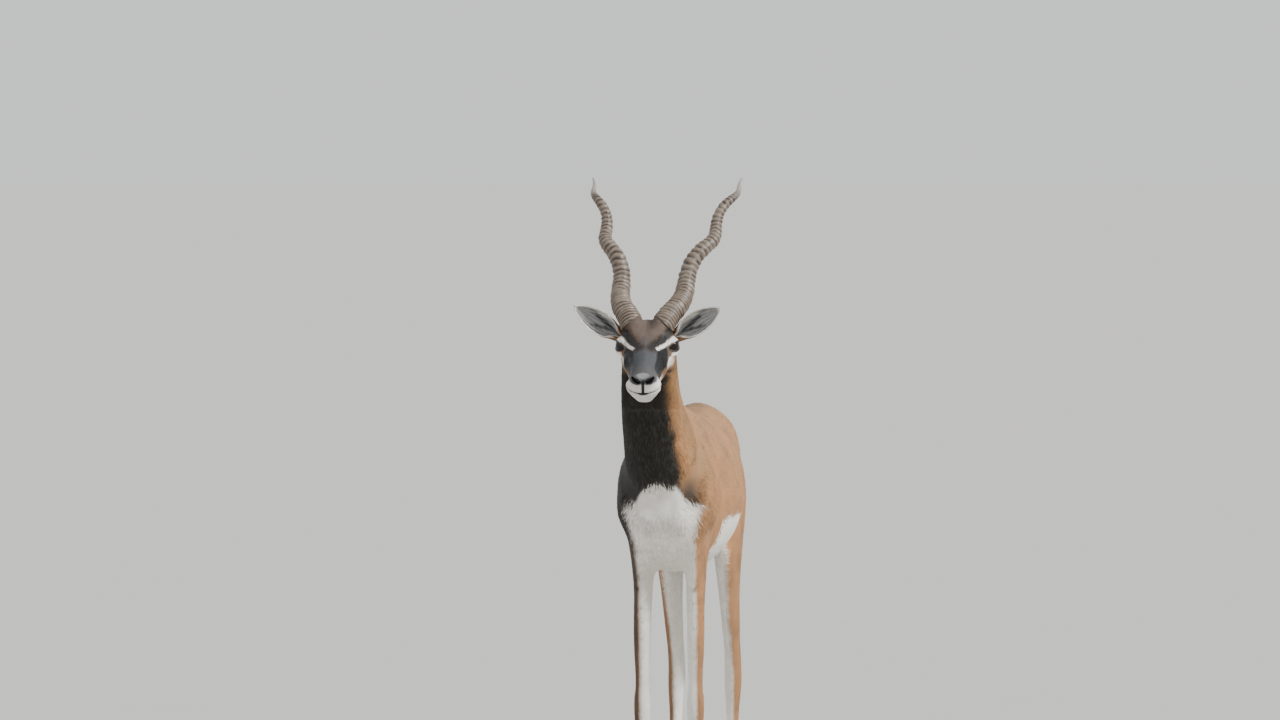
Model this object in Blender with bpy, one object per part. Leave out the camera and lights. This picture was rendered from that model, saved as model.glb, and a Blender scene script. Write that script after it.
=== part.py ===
"""Blackbuck, adult male, as a still, life-size model standing on four feet.

Run with: blender --background --python part.py, or from Blender's text editor.
Metres, +Z up. The animal faces -Y and its left side is +X. The flesh is lofted from stations
(a front or upper point, a back or lower point, and a half width), fused into one skin, and
parted into named nodes by thin flat cuts. Horns, ears, eyes, tail and claws are separate.
"""

import math

import bmesh
import bpy
import numpy as np
from mathutils import Matrix, Vector
from mathutils.bvhtree import BVHTree

# Driving sizes, in metres
GAP = 0.0003
VOXEL = 0.0045
EYE_LINE = Vector((0.0, -0.345, 0.875))
HEAD_PITCH = math.radians(27)
HEAD_YAW = math.radians(3)
EYE_RADIUS = 0.0155
EYE_SPREAD = 0.0385
EYE_FORWARD = -0.002
EYE_RISE = 0.004
EYE_LOOK = (0.86, 0.48, 0.16)
LID_THICKNESS = 0.0028
LID_SLANT = math.radians(-12)
OPENING_RADII = (0.0128, 0.0078, 0.0120)
EYE_GRID = (16, 8)
SLIT_GRID = (10, 6)
NOSTRIL = (0.0140, 0.1385, 0.0085)
NOSTRIL_RADII = (0.0072, 0.0060, 0.0036)
NOSTRIL_TURN = -0.6
NOSTRIL_TILT = 0.6
GLAND = (0.0405, 0.040, -0.010)
GLAND_RADII = (0.0030, 0.0120, 0.0018)
MOUTH_CORNER = 0.082
MOUTH_LEVEL = -0.0215
MOUTH_FALL = 0.03
MOUTH_DEPTH = 0.0035
MOUTH_HEIGHT = 0.0011
MOUTH_STEPS = 24
HORN_RINGED_SHARE = 0.84
HORN_RINGS = 24
HORN_SIDES = 10
HORN_FIRST_BEND = 0.130
HORN_BASE_RADIUS = 0.0198
HORN_TURNS = 2.53
HORN_TIGHTENING = 1.4
HORN_WIND = 0.0082
HORN_WIND_FADE = 0.38
HORN_WOUND_SHARE = 0.93
HORN_BASE = (0.0285, -0.030, 0.034)
HORN_TIP = Vector((0.1290, -0.037, 1.165))
HORN_RING_HEIGHT = 0.0016
HORN_RING_PEAK = 0.55
HORN_TIP_STEPS = 5
EAR_LENGTH = 0.096
EAR_DEPTH = 0.55
EAR_OPEN_SHARE = 0.22
EAR_POINTS = 7
EAR_SHARES = (0.0, 0.10, 0.18, 0.28, 0.40, 0.52, 0.64, 0.76, 0.86, 0.94, 1.0)
EAR_FACING = Vector((0.10, -1.0, 0.10))
EAR_THICKNESS = 0.0030
EAR_ROOT = (0.0480, -0.050, -0.002)
EAR_TIP = Vector((0.1240, -0.330, 0.9445))
TAIL_ROOT = Vector((0.0, 0.6045, 0.715))
TAIL_TIP = Vector((0.0, 0.617, 0.578))
TAIL_CURVE = 0.005
TAIL_SIDES = 14
TAIL_SHARES = [i / 9 for i in range(9)] + [0.97]
CORONET_ROW = -2
CLAW_SIDES = 9
CLAW_SHARES = (0.0, 0.35, 0.7, 1.0)
CLAW_INSET = 0.0008
CLAW_FLARE = 0.10
CLAW_FRONT = 0.0340
CLAW_BACK = 0.0215
CLAW_FORWARD = -0.0030
CLAW_PARTING = 0.0006
CLAW_SPLAY = 0.0018
CLAW_TOP_SHARE = 0.97
CLAW_ROUNDNESS = 0.8
DEWCLAW_SPREAD = 0.0080
DEWCLAW_RADII = (0.0055, 0.0060, 0.0090)
BODY_SHARE = 0.048
HEAD_FINENESS = 0.6
HEAD_WEIGHT = 0.0015
HEAD_BACK = -0.26
HEAD_LOW = 0.76
TRUNK_LOW = 0.40
TRUNK_FRONT = -0.24
SMOOTH_ALL = 2
SMOOTH_TRUNK = 18
TINY = 1e-5
WORDS = {1: "left", -1: "right"}

# Bosses of the head under horns and ears, and the bent root of the tail: place, radius
BOSS_PROFILE = ((-0.030, 0.0170), (-0.010, 0.0205), (0.0, 0.0200), (0.008, 0.0190))
GRISTLE_PROFILE = ((-0.030, 0.018), (-0.012, 0.0155), (0.004, 0.0127), (0.012, 0.0115))

# Width and length of the flat cuts through the trunk, and width and depth of the end trims
HEAD_SLAB = (0.15, 0.17)
NECK_SLAB = (0.24, 0.25)
RUMP_SLAB = (0.30, 0.40)
HORN_TRIM = (0.046, 0.030)
EAR_TRIM = (0.040, 0.030)
TAIL_TRIM = (0.036, 0.026)
CLAW_TRIM = (0.090, 0.060)

# Horn profile: share of the length, radius
HORN_PROFILE = [
    (0.00, 0.0198),
    (0.08, 0.0178),
    (0.20, 0.0158),
    (0.39, 0.0138),
    (0.52, 0.0118),
    (0.70, 0.0095),
    (0.84, 0.0070),
    (0.93, 0.0044),
    (1.00, 0.0012),
]

# Ear profile: share of the length, half width, half of the arc that the cup spans in degrees
EAR_PROFILE = [
    (0.00, 0.0115, 165),
    (0.14, 0.0140, 150),
    (0.28, 0.0178, 120),
    (0.43, 0.0204, 98),
    (0.57, 0.0203, 84),
    (0.72, 0.0172, 72),
    (0.87, 0.0110, 60),
    (1.00, 0.0030, 50),
]

# Tail profile: share of the length, half width, half depth
TAIL_PROFILE = [
    (0.00, 0.0145, 0.0145),
    (0.20, 0.0160, 0.0130),
    (0.50, 0.0185, 0.0110),
    (0.80, 0.0160, 0.0090),
    (1.00, 0.0050, 0.0040),
]

# Colour and roughness of each kind of node, by the start of its name
COLOURS = {
    "torso": (0.262, 0.138, 0.082, 0.85),
    "rump": (0.262, 0.138, 0.082, 0.85),
    "neck": (0.105, 0.066, 0.047, 0.85),
    "head": (0.120, 0.098, 0.085, 0.80),
    "tail": (0.230, 0.140, 0.095, 0.85),
    "ear": (0.300, 0.290, 0.280, 0.85),
    "horn": (0.155, 0.120, 0.095, 0.55),
    "eye": (0.012, 0.009, 0.008, 0.10),
    "forearm": (0.190, 0.100, 0.062, 0.85),
    "shank": (0.230, 0.125, 0.076, 0.85),
    "cannon": (0.210, 0.125, 0.085, 0.85),
    "pastern": (0.200, 0.130, 0.095, 0.85),
    "claw": (0.030, 0.026, 0.024, 0.45),
}

# How far each foot stands forward (-) or back (+) of its plain stance
FOOT_SHIFT = {
    "fore_left": -0.012,
    "fore_right": 0.014,
    "hind_left": 0.030,
    "hind_right": -0.022,
}
FOOT_SHIFT_TOP = 0.50
FOOT_SHIFT_GAIN = 1.15

# Trunk: y, top z, bottom z, half width, level of the widest part (-1 low, 1 high)
TRUNK = [
    (-0.152, 0.682, 0.592, 0.036, -0.1),
    (-0.128, 0.724, 0.546, 0.062, -0.1),
    (-0.088, 0.760, 0.512, 0.077, -0.1),
    (-0.040, 0.777, 0.495, 0.082, -0.1),
    (0.000, 0.784, 0.488, 0.085, -0.1),
    (0.060, 0.779, 0.484, 0.092, -0.1),
    (0.130, 0.770, 0.484, 0.099, -0.1),
    (0.200, 0.765, 0.488, 0.1025, -0.1),
    (0.270, 0.765, 0.499, 0.101, -0.1),
    (0.340, 0.770, 0.520, 0.091, 0.0),
    (0.400, 0.776, 0.546, 0.080, 0.1),
    (0.460, 0.774, 0.570, 0.073, 0.2),
    (0.520, 0.759, 0.598, 0.064, 0.2),
    (0.565, 0.729, 0.625, 0.052, 0.1),
    (0.590, 0.700, 0.652, 0.028, 0.0),
]

# Neck: top y, top z, bottom y, bottom z, half width, sideways place
NECK = [
    (0.030, 0.760, -0.095, 0.560, 0.060, 0.0),
    (-0.045, 0.786, -0.170, 0.625, 0.064, -0.004),
    (-0.105, 0.813, -0.208, 0.684, 0.0575, -0.0085),
    (-0.160, 0.847, -0.236, 0.738, 0.0535, -0.0095),
    (-0.212, 0.884, -0.256, 0.785, 0.0510, -0.0080),
    (-0.256, 0.912, -0.276, 0.826, 0.0470, -0.0050),
    (-0.300, 0.915, -0.315, 0.850, 0.0400, -0.0015),
]

# Head, along its own axis: u towards the nose from the eyes, top v, bottom v, half width,
# level of the widest part, fullness of the upper and the lower half (below 1 is square)
HEAD = [
    (-0.100, -0.014, -0.052, 0.024, 0.0, 1.0, 1.0),
    (-0.082, 0.006, -0.060, 0.037, 0.0, 0.9, 1.0),
    (-0.056, 0.028, -0.066, 0.044, 0.1, 0.85, 1.1),
    (-0.030, 0.039, -0.068, 0.0465, 0.2, 0.85, 1.2),
    (-0.005, 0.038, -0.064, 0.0460, 0.3, 0.8, 1.3),
    (0.020, 0.0335, -0.058, 0.0430, 0.3, 0.8, 1.3),
    (0.045, 0.0315, -0.052, 0.0375, 0.2, 0.95, 1.25),
    (0.070, 0.0290, -0.0465, 0.0310, 0.1, 1.0, 1.1),
    (0.092, 0.0265, -0.0440, 0.0262, 0.0, 1.0, 1.15),
    (0.112, 0.0240, -0.0420, 0.0272, -0.1, 1.0, 1.35),
    (0.127, 0.0200, -0.0355, 0.0268, -0.1, 0.95, 1.3),
    (0.137, 0.0130, -0.0250, 0.0225, 0.0, 0.95, 1.1),
    (0.142, 0.0040, -0.0130, 0.0120, 0.0, 1.0, 1.0),
]

# Masses that round the head out: x, u, v, then radii; each is made on both sides
HEAD_MASSES = [
    ((0.0330, -0.030, -0.030), (0.0150, 0.0320, 0.0280)),
    ((0.0370, -0.002, 0.003), (0.0190, 0.0215, 0.0200)),
    ((0.0270, 0.048, -0.004), (0.0130, 0.0230, 0.0150)),
    ((0.0135, 0.120, -0.008), (0.0175, 0.0200, 0.0165)),
    ((0.0040, 0.109, -0.034), (0.0135, 0.0180, 0.0105)),
    ((0.0110, 0.131, 0.008), (0.0120, 0.0100, 0.0110)),
]

# Fore leg: front y, front z, back y, back z, x, half width
FORE_LEG = [
    (-0.075, 0.690, 0.030, 0.700, 0.044, 0.0260),
    (-0.118, 0.640, 0.055, 0.655, 0.054, 0.0310),
    (-0.126, 0.590, 0.060, 0.600, 0.057, 0.0320),
    (-0.100, 0.540, 0.056, 0.545, 0.0475, 0.0245),
    (-0.070, 0.500, 0.050, 0.495, 0.0458, 0.0212),
    (-0.052, 0.462, 0.042, 0.458, 0.0456, 0.0193),
    (-0.044, 0.425, 0.020, 0.425, 0.0460, 0.0180),
    (-0.038, 0.380, 0.010, 0.380, 0.0465, 0.0165),
    (-0.032, 0.330, 0.003, 0.330, 0.0465, 0.0145),
    (-0.029, 0.292, 0.001, 0.292, 0.0465, 0.0138),
    (-0.0310, 0.265, 0.003, 0.265, 0.0465, 0.0160),
    (-0.0305, 0.238, 0.004, 0.238, 0.0465, 0.0155),
    (-0.0260, 0.212, 0.001, 0.212, 0.0465, 0.0122),
    (-0.0240, 0.170, -0.001, 0.170, 0.0465, 0.0105),
    (-0.0240, 0.120, -0.001, 0.120, 0.0465, 0.0108),
    (-0.0260, 0.095, 0.006, 0.092, 0.0465, 0.0135),
    (-0.0290, 0.079, 0.007, 0.074, 0.0465, 0.0138),
    (-0.0350, 0.058, -0.001, 0.050, 0.0465, 0.0125),
    (-0.0420, 0.038, -0.002, 0.024, 0.0465, 0.0148),
    (-0.0460, 0.020, -0.004, 0.006, 0.0465, 0.0148),
]

# Hind leg: the same
HIND_LEG = [
    (0.400, 0.702, 0.550, 0.702, 0.032, 0.0280),
    (0.362, 0.655, 0.585, 0.675, 0.043, 0.0315),
    (0.347, 0.605, 0.595, 0.635, 0.0495, 0.0310),
    (0.342, 0.552, 0.586, 0.592, 0.0505, 0.0295),
    (0.350, 0.505, 0.568, 0.548, 0.0505, 0.0265),
    (0.383, 0.458, 0.553, 0.502, 0.0500, 0.0225),
    (0.424, 0.412, 0.548, 0.452, 0.0495, 0.0190),
    (0.460, 0.372, 0.553, 0.407, 0.0490, 0.0165),
    (0.488, 0.337, 0.565, 0.366, 0.0485, 0.0145),
    (0.506, 0.305, 0.577, 0.330, 0.0480, 0.0150),
    (0.514, 0.275, 0.570, 0.290, 0.0480, 0.0155),
    (0.516, 0.245, 0.552, 0.250, 0.0480, 0.0130),
    (0.513, 0.190, 0.540, 0.190, 0.0480, 0.0110),
    (0.508, 0.135, 0.534, 0.135, 0.0480, 0.0108),
    (0.503, 0.104, 0.535, 0.101, 0.0480, 0.0135),
    (0.498, 0.087, 0.534, 0.082, 0.0480, 0.0138),
    (0.490, 0.062, 0.526, 0.054, 0.0480, 0.0125),
    (0.484, 0.038, 0.524, 0.024, 0.0480, 0.0148),
    (0.480, 0.020, 0.522, 0.006, 0.0480, 0.0148),
]

# Rows of a leg that its flat cuts run through, from the top down
LEG_CUTS = {"fore": (5, 11, 16), "hind": (4, 10, 15)}
LEG_CUT_WIDTHS = (0.26, 0.10, 0.09)
LEG_PARTS = {"fore": ("forearm", "cannon", "pastern"), "hind": ("shank", "cannon", "pastern")}

LEGS = {
    "fore_left": FORE_LEG,
    "fore_right": FORE_LEG,
    "hind_left": HIND_LEG,
    "hind_right": HIND_LEG,
}

# Flat cuts of the trunk: a point and the normal
HEAD_CUT = (Vector((0.0, -0.252, 0.870)), Vector((0.0, -0.98, 0.20)))
NECK_CUT = (Vector((0.0, -0.1075, 0.7055)), Vector((0.0, -0.79, 0.613)))
RUMP_CUT = (Vector((0.0, 0.330, 0.640)), Vector((0.0, 1.0, 0.0)))
FLESH_PLACES = {
    "torso": Vector((0.0, 0.09, 0.63)),
    "rump": Vector((0.0, 0.46, 0.66)),
    "neck": Vector((0.0, -0.18, 0.79)),
    "head": Vector((0.0, -0.36, 0.87)),
}

# Muscle masses on both sides: centre, radii, tilt about X in degrees
BODY_MASSES = [
    ((0.048, -0.050, 0.628), (0.0400, 0.066, 0.086), -18),
    ((0.046, 0.020, 0.560), (0.0300, 0.048, 0.060), 12),
    ((0.018, -0.112, 0.596), (0.0400, 0.042, 0.052), 0),
    ((0.042, 0.470, 0.632), (0.0370, 0.105, 0.080), 0),
    ((0.034, 0.410, 0.732), (0.0230, 0.060, 0.022), -6),
]

SPLINE_STEP = 0.012
RING_SIDES = 28


def head_point(x, u, v):
    """A point of the head's own axes in the model's: x sideways, u to the nose, v up."""
    forward = Vector((0.0, -math.cos(HEAD_PITCH), -math.sin(HEAD_PITCH)))
    upward = Vector((0.0, -math.sin(HEAD_PITCH), math.cos(HEAD_PITCH)))
    place = Vector((x, 0.0, 0.0)) + forward * u + upward * v
    return EYE_LINE + Matrix.Rotation(HEAD_YAW, 3, "Z") @ place


def head_axes():
    """The head's own x, forward and upward axes as the columns of a matrix."""
    columns = [head_point(*axis) - EYE_LINE for axis in ((1, 0, 0), (0, 1, 0), (0, 0, 1))]
    return Matrix(columns).transposed()


def blend_rows(rows, step=SPLINE_STEP):
    """Rows of station values resampled on a smooth cubic, about one step apart."""
    rows = np.array(rows, float)
    places = rows[:, :4] if rows.shape[1] > 5 else rows[:, :3]
    lengths = np.linalg.norm(np.diff(places, axis=0), axis=1)
    knots = np.concatenate([[0.0], np.cumsum(lengths)])
    slopes = np.gradient(rows, knots, axis=0)
    wanted = np.linspace(0.0, knots[-1], max(3, round(knots[-1] / step)))
    spans = np.clip(np.searchsorted(knots, wanted, side="right") - 1, 0, len(knots) - 2)
    width = (knots[spans + 1] - knots[spans])[:, None]
    t = (wanted - knots[spans])[:, None] / width
    start, end = rows[spans], rows[spans + 1]
    leave, arrive = slopes[spans] * width, slopes[spans + 1] * width
    return (
        start * (2 * t**3 - 3 * t**2 + 1)
        + leave * (t**3 - 2 * t**2 + t)
        + end * (3 * t**2 - 2 * t**3)
        + arrive * (t**3 - t**2)
    )


def ring(upper, lower, x, half_width, level=0.0, full_up=1.0, full_down=1.0):
    """A closed section between an upper and a lower point, widest at the level between them."""
    upper, lower = Vector(upper), Vector(lower)
    middle = (upper + lower) / 2 + (upper - lower) / 2 * level
    points = []
    for i in range(RING_SIDES):
        angle = 2 * math.pi * i / RING_SIDES
        up, side = math.cos(angle), math.sin(angle)
        reach = (upper - middle) * up if up > 0 else (lower - middle) * -up
        power = full_up if up > 0 else full_down
        out = math.copysign(abs(side) ** power, side) * half_width
        points.append(middle + reach + Vector((x + out, 0.0, 0.0)))
    return points


def placed(name, shape):
    """A new object in the scene from an edit mesh, which is freed."""
    mesh = bpy.data.meshes.new(name)
    shape.to_mesh(mesh)
    shape.free()
    made = bpy.data.objects.new(name, mesh)
    bpy.context.scene.collection.objects.link(made)
    return made


def mesh_object(name, points, faces):
    """A new object with this mesh, its faces pointing out."""
    shape = bmesh.new()
    verts = [shape.verts.new(point) for point in points]
    for face in faces:
        shape.faces.new([verts[i] for i in face])
    bmesh.ops.recalc_face_normals(shape, faces=shape.faces)
    if shape.calc_volume(signed=True) < 0:
        bmesh.ops.reverse_faces(shape, faces=shape.faces)
    return placed(name, shape)


def loft(name, rings, tip=None):
    """A closed body through rings of one size, capped flat, or drawn to a tip at its end."""
    sides = len(rings[0])
    points = [p for section in rings for p in section]
    faces = []
    for row in range(0, (len(rings) - 1) * sides, sides):
        for j in range(sides):
            near, far = row + j, row + (j + 1) % sides
            faces.append((near, far, far + sides, near + sides))
    faces.append(tuple(range(sides)))
    last = (len(rings) - 1) * sides
    if tip is None:
        faces.append(tuple(range(last, last + sides)))
    else:
        points.append(tip)
        faces += [(last + j, last + (j + 1) % sides, len(points) - 1) for j in range(sides)]
    return mesh_object(name, points, faces)


def ball(name, centre, radii, axes=None, segments=24, rings=14):
    """A closed ellipsoid, its radii along the columns of axes."""
    shape = bmesh.new()
    bmesh.ops.create_uvsphere(shape, u_segments=segments, v_segments=rings, radius=1.0)
    axes = Matrix.Identity(3) if axes is None else axes
    turn = axes.to_4x4() @ Matrix.Diagonal((*radii, 1.0))
    bmesh.ops.transform(shape, matrix=Matrix.Translation(centre) @ turn, verts=shape.verts)
    if axes.determinant() < 0:
        bmesh.ops.reverse_faces(shape, faces=shape.faces)
    return placed(name, shape)


def slab(name, centre, normal, width, length, thickness=GAP, along=Vector((0, 1, 0))):
    """A thin box across a limb: the cut that parts two nodes."""
    up = Vector(normal).normalized()
    side = Vector(along).cross(up).normalized()
    ahead = up.cross(side)
    shape = bmesh.new()
    bmesh.ops.create_cube(shape, size=1.0)
    axes = Matrix((side, ahead, up)).transposed().to_4x4()
    size = Matrix.Diagonal((width, length, thickness, 1.0))
    bmesh.ops.transform(shape, matrix=Matrix.Translation(centre) @ axes @ size, verts=shape.verts)
    if axes.determinant() < 0:
        bmesh.ops.reverse_faces(shape, faces=shape.faces)
    return placed(name, shape)


def applied(obj):
    """Puts the object's modifiers into its mesh."""
    bpy.context.view_layer.update()
    graph = bpy.context.evaluated_depsgraph_get()
    mesh = bpy.data.meshes.new_from_object(obj.evaluated_get(graph))
    obj.modifiers.clear()
    obj.data = mesh
    return obj


def joined(name, objects):
    """The objects' meshes in one new object; the objects are removed."""
    shape = bmesh.new()
    for obj in objects:
        shape.from_mesh(obj.data)
        bpy.data.objects.remove(obj)
    return placed(name, shape)


def boolean(obj, other, operation, solver="EXACT"):
    """Joins or cuts the object with another, which is then removed."""
    modifier = obj.modifiers.new(operation.title(), "BOOLEAN")
    modifier.operation = operation
    modifier.solver = solver
    modifier.object = other
    applied(obj)
    bpy.data.objects.remove(other)


def foot_shift(rows, foot):
    """The leg's rows slanted so that its foot stands forward or back of the plain stance."""
    moved = []
    for y1, z1, y2, z2, x, width in rows:
        front, back = (
            FOOT_SHIFT[foot] * min(1.0, FOOT_SHIFT_GAIN * max(0.0, 1 - z / FOOT_SHIFT_TOP))
            for z in (z1, z2)
        )
        moved.append((y1 + front, z1, y2 + back, z2, x, width))
    return moved


def leg_loft(rows, foot):
    """The whole plain leg, from inside the trunk to the coronet."""
    side = 1 if foot.endswith("left") else -1
    rings = [
        ring((0, y1, z1), (0, y2, z2), side * x, width)
        for y1, z1, y2, z2, x, width in blend_rows(foot_shift(rows, foot))
    ]
    return loft("leg", rings)


def trunk_loft():
    """The barrel of the body, from the chest to the seat."""
    rings = [
        ring((0, y, top), (0, y, low), 0.0, width, level, 1.15, 1.0)
        for y, top, low, width, level in blend_rows(TRUNK)
    ]
    return loft("trunk", rings)


def neck_loft():
    """The neck, from inside the chest up to inside the head."""
    rings = [
        ring((0, y1, z1), (0, y2, z2), x, width, -0.15, 1.1, 1.0)
        for y1, z1, y2, z2, width, x in blend_rows(NECK)
    ]
    return loft("neck_core", rings)


def head_loft():
    """The plain form of the head, from the poll to the nose."""
    rings = [
        [
            head_point(*flat)
            for flat in ring((0, u, top), (0, u, low), 0.0, width, level, full_up, full_down)
        ]
        for u, top, low, width, level, full_up, full_down in blend_rows(HEAD, 0.006)
    ]
    return loft("head_core", rings)


def masses():
    """The rounded muscle masses of the body and the head, on both sides."""
    made = []
    for side in (-1, 1):
        for (x, y, z), radii, tilt in BODY_MASSES:
            axes = Matrix.Rotation(math.radians(tilt), 3, "X")
            made.append(ball("mass", Vector((side * x, y, z)), radii, axes))
        for (x, u, v), radii in HEAD_MASSES:
            made.append(ball("mass", head_point(side * x, u, v), radii, head_axes()))
    return made


def dewclaws():
    """Two small blunt claws behind the fetlock of each leg."""
    made = []
    for foot, rows in LEGS.items():
        front_y, _, back_y, back_z, x, _ = foot_shift(rows, foot)[LEG_CUTS[foot[:4]][2]]
        side = 1 if foot.endswith("left") else -1
        for spread in (-DEWCLAW_SPREAD, DEWCLAW_SPREAD):
            centre = Vector((side * x + spread, back_y - 0.001, back_z - 0.010))
            made.append(ball("dewclaw", centre, DEWCLAW_RADII))
    return made


def horn_path(share, side):
    """A point of the horn's winding centre line, and its radius, at a share of the way up."""
    base = head_point(side * HORN_BASE[0], *HORN_BASE[1:])
    tip = Vector((side * HORN_TIP.x, HORN_TIP.y, HORN_TIP.z))
    line = tip - base
    outward = Vector((side, 0, 0))
    outward = (outward - line * (outward.dot(line) / line.length_squared)).normalized()
    backward = line.normalized().cross(outward) * side
    climb = share**HORN_TIGHTENING - HORN_FIRST_BEND**HORN_TIGHTENING
    turn = 2 * math.pi * HORN_TURNS * climb
    grow = min(1.0, share / 0.10)
    straight = max(0.0, share - HORN_WOUND_SHARE) / (1 - HORN_WOUND_SHARE)
    wind = HORN_WIND * grow * (1 - HORN_WIND_FADE * share) * (1 - straight)
    point = base + line * share
    point += outward * wind * math.cos(turn) + backward * wind * math.sin(turn)
    return point, float(np.interp(share, *np.array(HORN_PROFILE).T))


def section_round(centre, tangent, radius, sides):
    """A round section across a tangent."""
    tangent = tangent.normalized()
    side = tangent.cross(Vector((0, 1, 0))).normalized()
    up = side.cross(tangent)
    angles = [2 * math.pi * i / sides for i in range(sides)]
    return [centre + (side * math.cos(a) + up * math.sin(a)) * radius for a in angles]


def horn_start(side):
    """The horn's base point and the direction that it leaves the head in."""
    base = horn_path(0.0, side)[0]
    return base, (horn_path(0.02, side)[0] - base).normalized()


def horn(side):
    """One horn: a winding cone with raised rings up to near its smooth tip."""
    shares = []
    pitch = HORN_RINGED_SHARE / HORN_RINGS
    for i in range(HORN_RINGS):
        shares += [(pitch * i, 0.0), (pitch * (i + HORN_RING_PEAK), 1.0)]
    smooth = 1 - HORN_RINGED_SHARE
    for i in range(HORN_TIP_STEPS):
        shares.append((HORN_RINGED_SHARE + smooth * i / HORN_TIP_STEPS, 0.0))
    base, direction = horn_start(side)
    sections = [section_round(base + direction * GAP, direction, HORN_BASE_RADIUS, HORN_SIDES)]
    for share, raised in shares[1:]:
        centre, radius = horn_path(share, side)
        ahead = horn_path(min(1.0, share + 0.01), side)[0]
        behind = horn_path(max(0.0, share - 0.01), side)[0]
        lift = HORN_RING_HEIGHT * raised * min(1.0, radius / 0.010)
        sections.append(section_round(centre, ahead - behind, radius + lift, HORN_SIDES))
    return loft("horn_" + WORDS[side], sections, tip=horn_path(1.0, side)[0])


def horn_stub(side):
    """The hairy boss of the head that the horn stands on."""
    base, direction = horn_start(side)
    sections = [
        section_round(base + direction * far, direction, radius, RING_SIDES)
        for far, radius in BOSS_PROFILE
    ]
    return loft("horn_stub", sections)


def ear_frame(side):
    """The ear's root, its direction, the way its cup faces, and its width direction."""
    root = head_point(side * EAR_ROOT[0], *EAR_ROOT[1:])
    along = (Vector((side * EAR_TIP.x, EAR_TIP.y, EAR_TIP.z)) - root).normalized()
    facing = Vector((side * EAR_FACING.x, EAR_FACING.y, EAR_FACING.z))
    facing = (facing - along * facing.dot(along)).normalized()
    return root, along, facing, facing.cross(along)


def ear_section(share, side):
    """The ear's section: a stout round at the root that opens into a thin cupped strip."""
    root, along, facing, across = ear_frame(side)
    profile = np.array(EAR_PROFILE)
    width = np.interp(share, profile[:, 0], profile[:, 1])
    bend = math.radians(np.interp(share, profile[:, 0], profile[:, 2]))
    radius = width / math.sin(min(bend, math.pi / 2))
    hollow = min(1.0, share / EAR_OPEN_SHARE)
    inside = (radius - EAR_THICKNESS * (1 - 0.4 * share)) * (0.12 + 0.88 * hollow)
    centre = root + along * (EAR_LENGTH * share) + facing * (EAR_DEPTH * radius)
    outer, inner = [], []
    for j in range(EAR_POINTS):
        angle = bend * (2 * j / (EAR_POINTS - 1) - 1)
        away = across * math.sin(angle) - facing * math.cos(angle)
        outer.append(centre + away * radius)
        inner.append(centre + away * inside)
    return outer + inner[::-1]


def ear(side):
    """One ear: a leaf-shaped cup on a stout root."""
    return loft("ear_" + WORDS[side], [ear_section(share, side) for share in EAR_SHARES])


def ear_stub(side):
    """The stout gristle of the head that the ear stands on."""
    root, along, facing, _ = ear_frame(side)
    centre = root + facing * (EAR_DEPTH * EAR_PROFILE[0][1])
    sections = [
        section_round(centre + along * far, along, radius, RING_SIDES)
        for far, radius in GRISTLE_PROFILE
    ]
    return loft("ear_stub", sections)


def tail_direction():
    """The way the tail hangs from its root."""
    return (TAIL_TIP - TAIL_ROOT).normalized()


def tail_section(share):
    """A section of the tail: wide and flat towards its tufted end."""
    profile = np.array(TAIL_PROFILE)
    wide = np.interp(share, profile[:, 0], profile[:, 1])
    deep = np.interp(share, profile[:, 0], profile[:, 2])
    direction = tail_direction()
    back = Vector((1, 0, 0)).cross(direction)
    hang = TAIL_CURVE * math.sin(math.pi * share)
    middle = TAIL_ROOT + (TAIL_TIP - TAIL_ROOT) * share + back * hang
    angles = [2 * math.pi * i / TAIL_SIDES for i in range(TAIL_SIDES)]
    across = Vector((1, 0, 0)) * wide
    return [middle + across * math.cos(a) + back * (deep * math.sin(a)) for a in angles]


def tail():
    """The tail, from just clear of its root down to its tip."""
    sections = [tail_section(share) for share in TAIL_SHARES]
    sections[0] = [p + tail_direction() * GAP for p in sections[0]]
    return loft("tail", sections, tip=TAIL_TIP)


def tail_stub():
    """The root of the tail, which leaves the rump and turns down."""
    direction = tail_direction()
    bend = [
        (TAIL_ROOT + Vector((0.0, -0.060, 0.012)), Vector((0.0, 1.0, -0.05)), 0.0210),
        (TAIL_ROOT + Vector((0.0, -0.026, 0.014)), Vector((0.0, 1.0, -0.25)), 0.0185),
        (TAIL_ROOT + Vector((0.0, -0.006, 0.008)), Vector((0.0, 0.7, -0.7)), 0.0165),
        (TAIL_ROOT, direction, 0.0150),
        (TAIL_ROOT + direction * 0.008, direction, 0.0145),
    ]
    return loft("tail_stub", [section_round(*section, RING_SIDES) for section in bend])


def fused_skin():
    """All the flesh as one smooth closed skin."""
    pieces = [trunk_loft(), neck_loft(), head_loft(), tail_stub()]
    pieces += [leg_loft(rows, foot) for foot, rows in LEGS.items()]
    pieces += masses() + dewclaws()
    for side in (-1, 1):
        pieces += [horn_stub(side), ear_stub(side)]
    skin = joined("skin", pieces)
    remesh = skin.modifiers.new("Remesh", "REMESH")
    remesh.mode = "VOXEL"
    remesh.voxel_size = VOXEL
    applied(skin)
    shape = bmesh.new()
    shape.from_mesh(skin.data)
    trunk = [v for v in shape.verts if v.co.z > TRUNK_LOW and v.co.y > TRUNK_FRONT]
    for verts, times in ((shape.verts, SMOOTH_ALL), (trunk, SMOOTH_TRUNK)):
        for _ in range(times):
            bmesh.ops.smooth_vert(
                shape, verts=verts, factor=0.5, use_axis_x=True, use_axis_y=True, use_axis_z=True
            )
    shape.to_mesh(skin.data)
    shape.free()
    return skin


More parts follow.
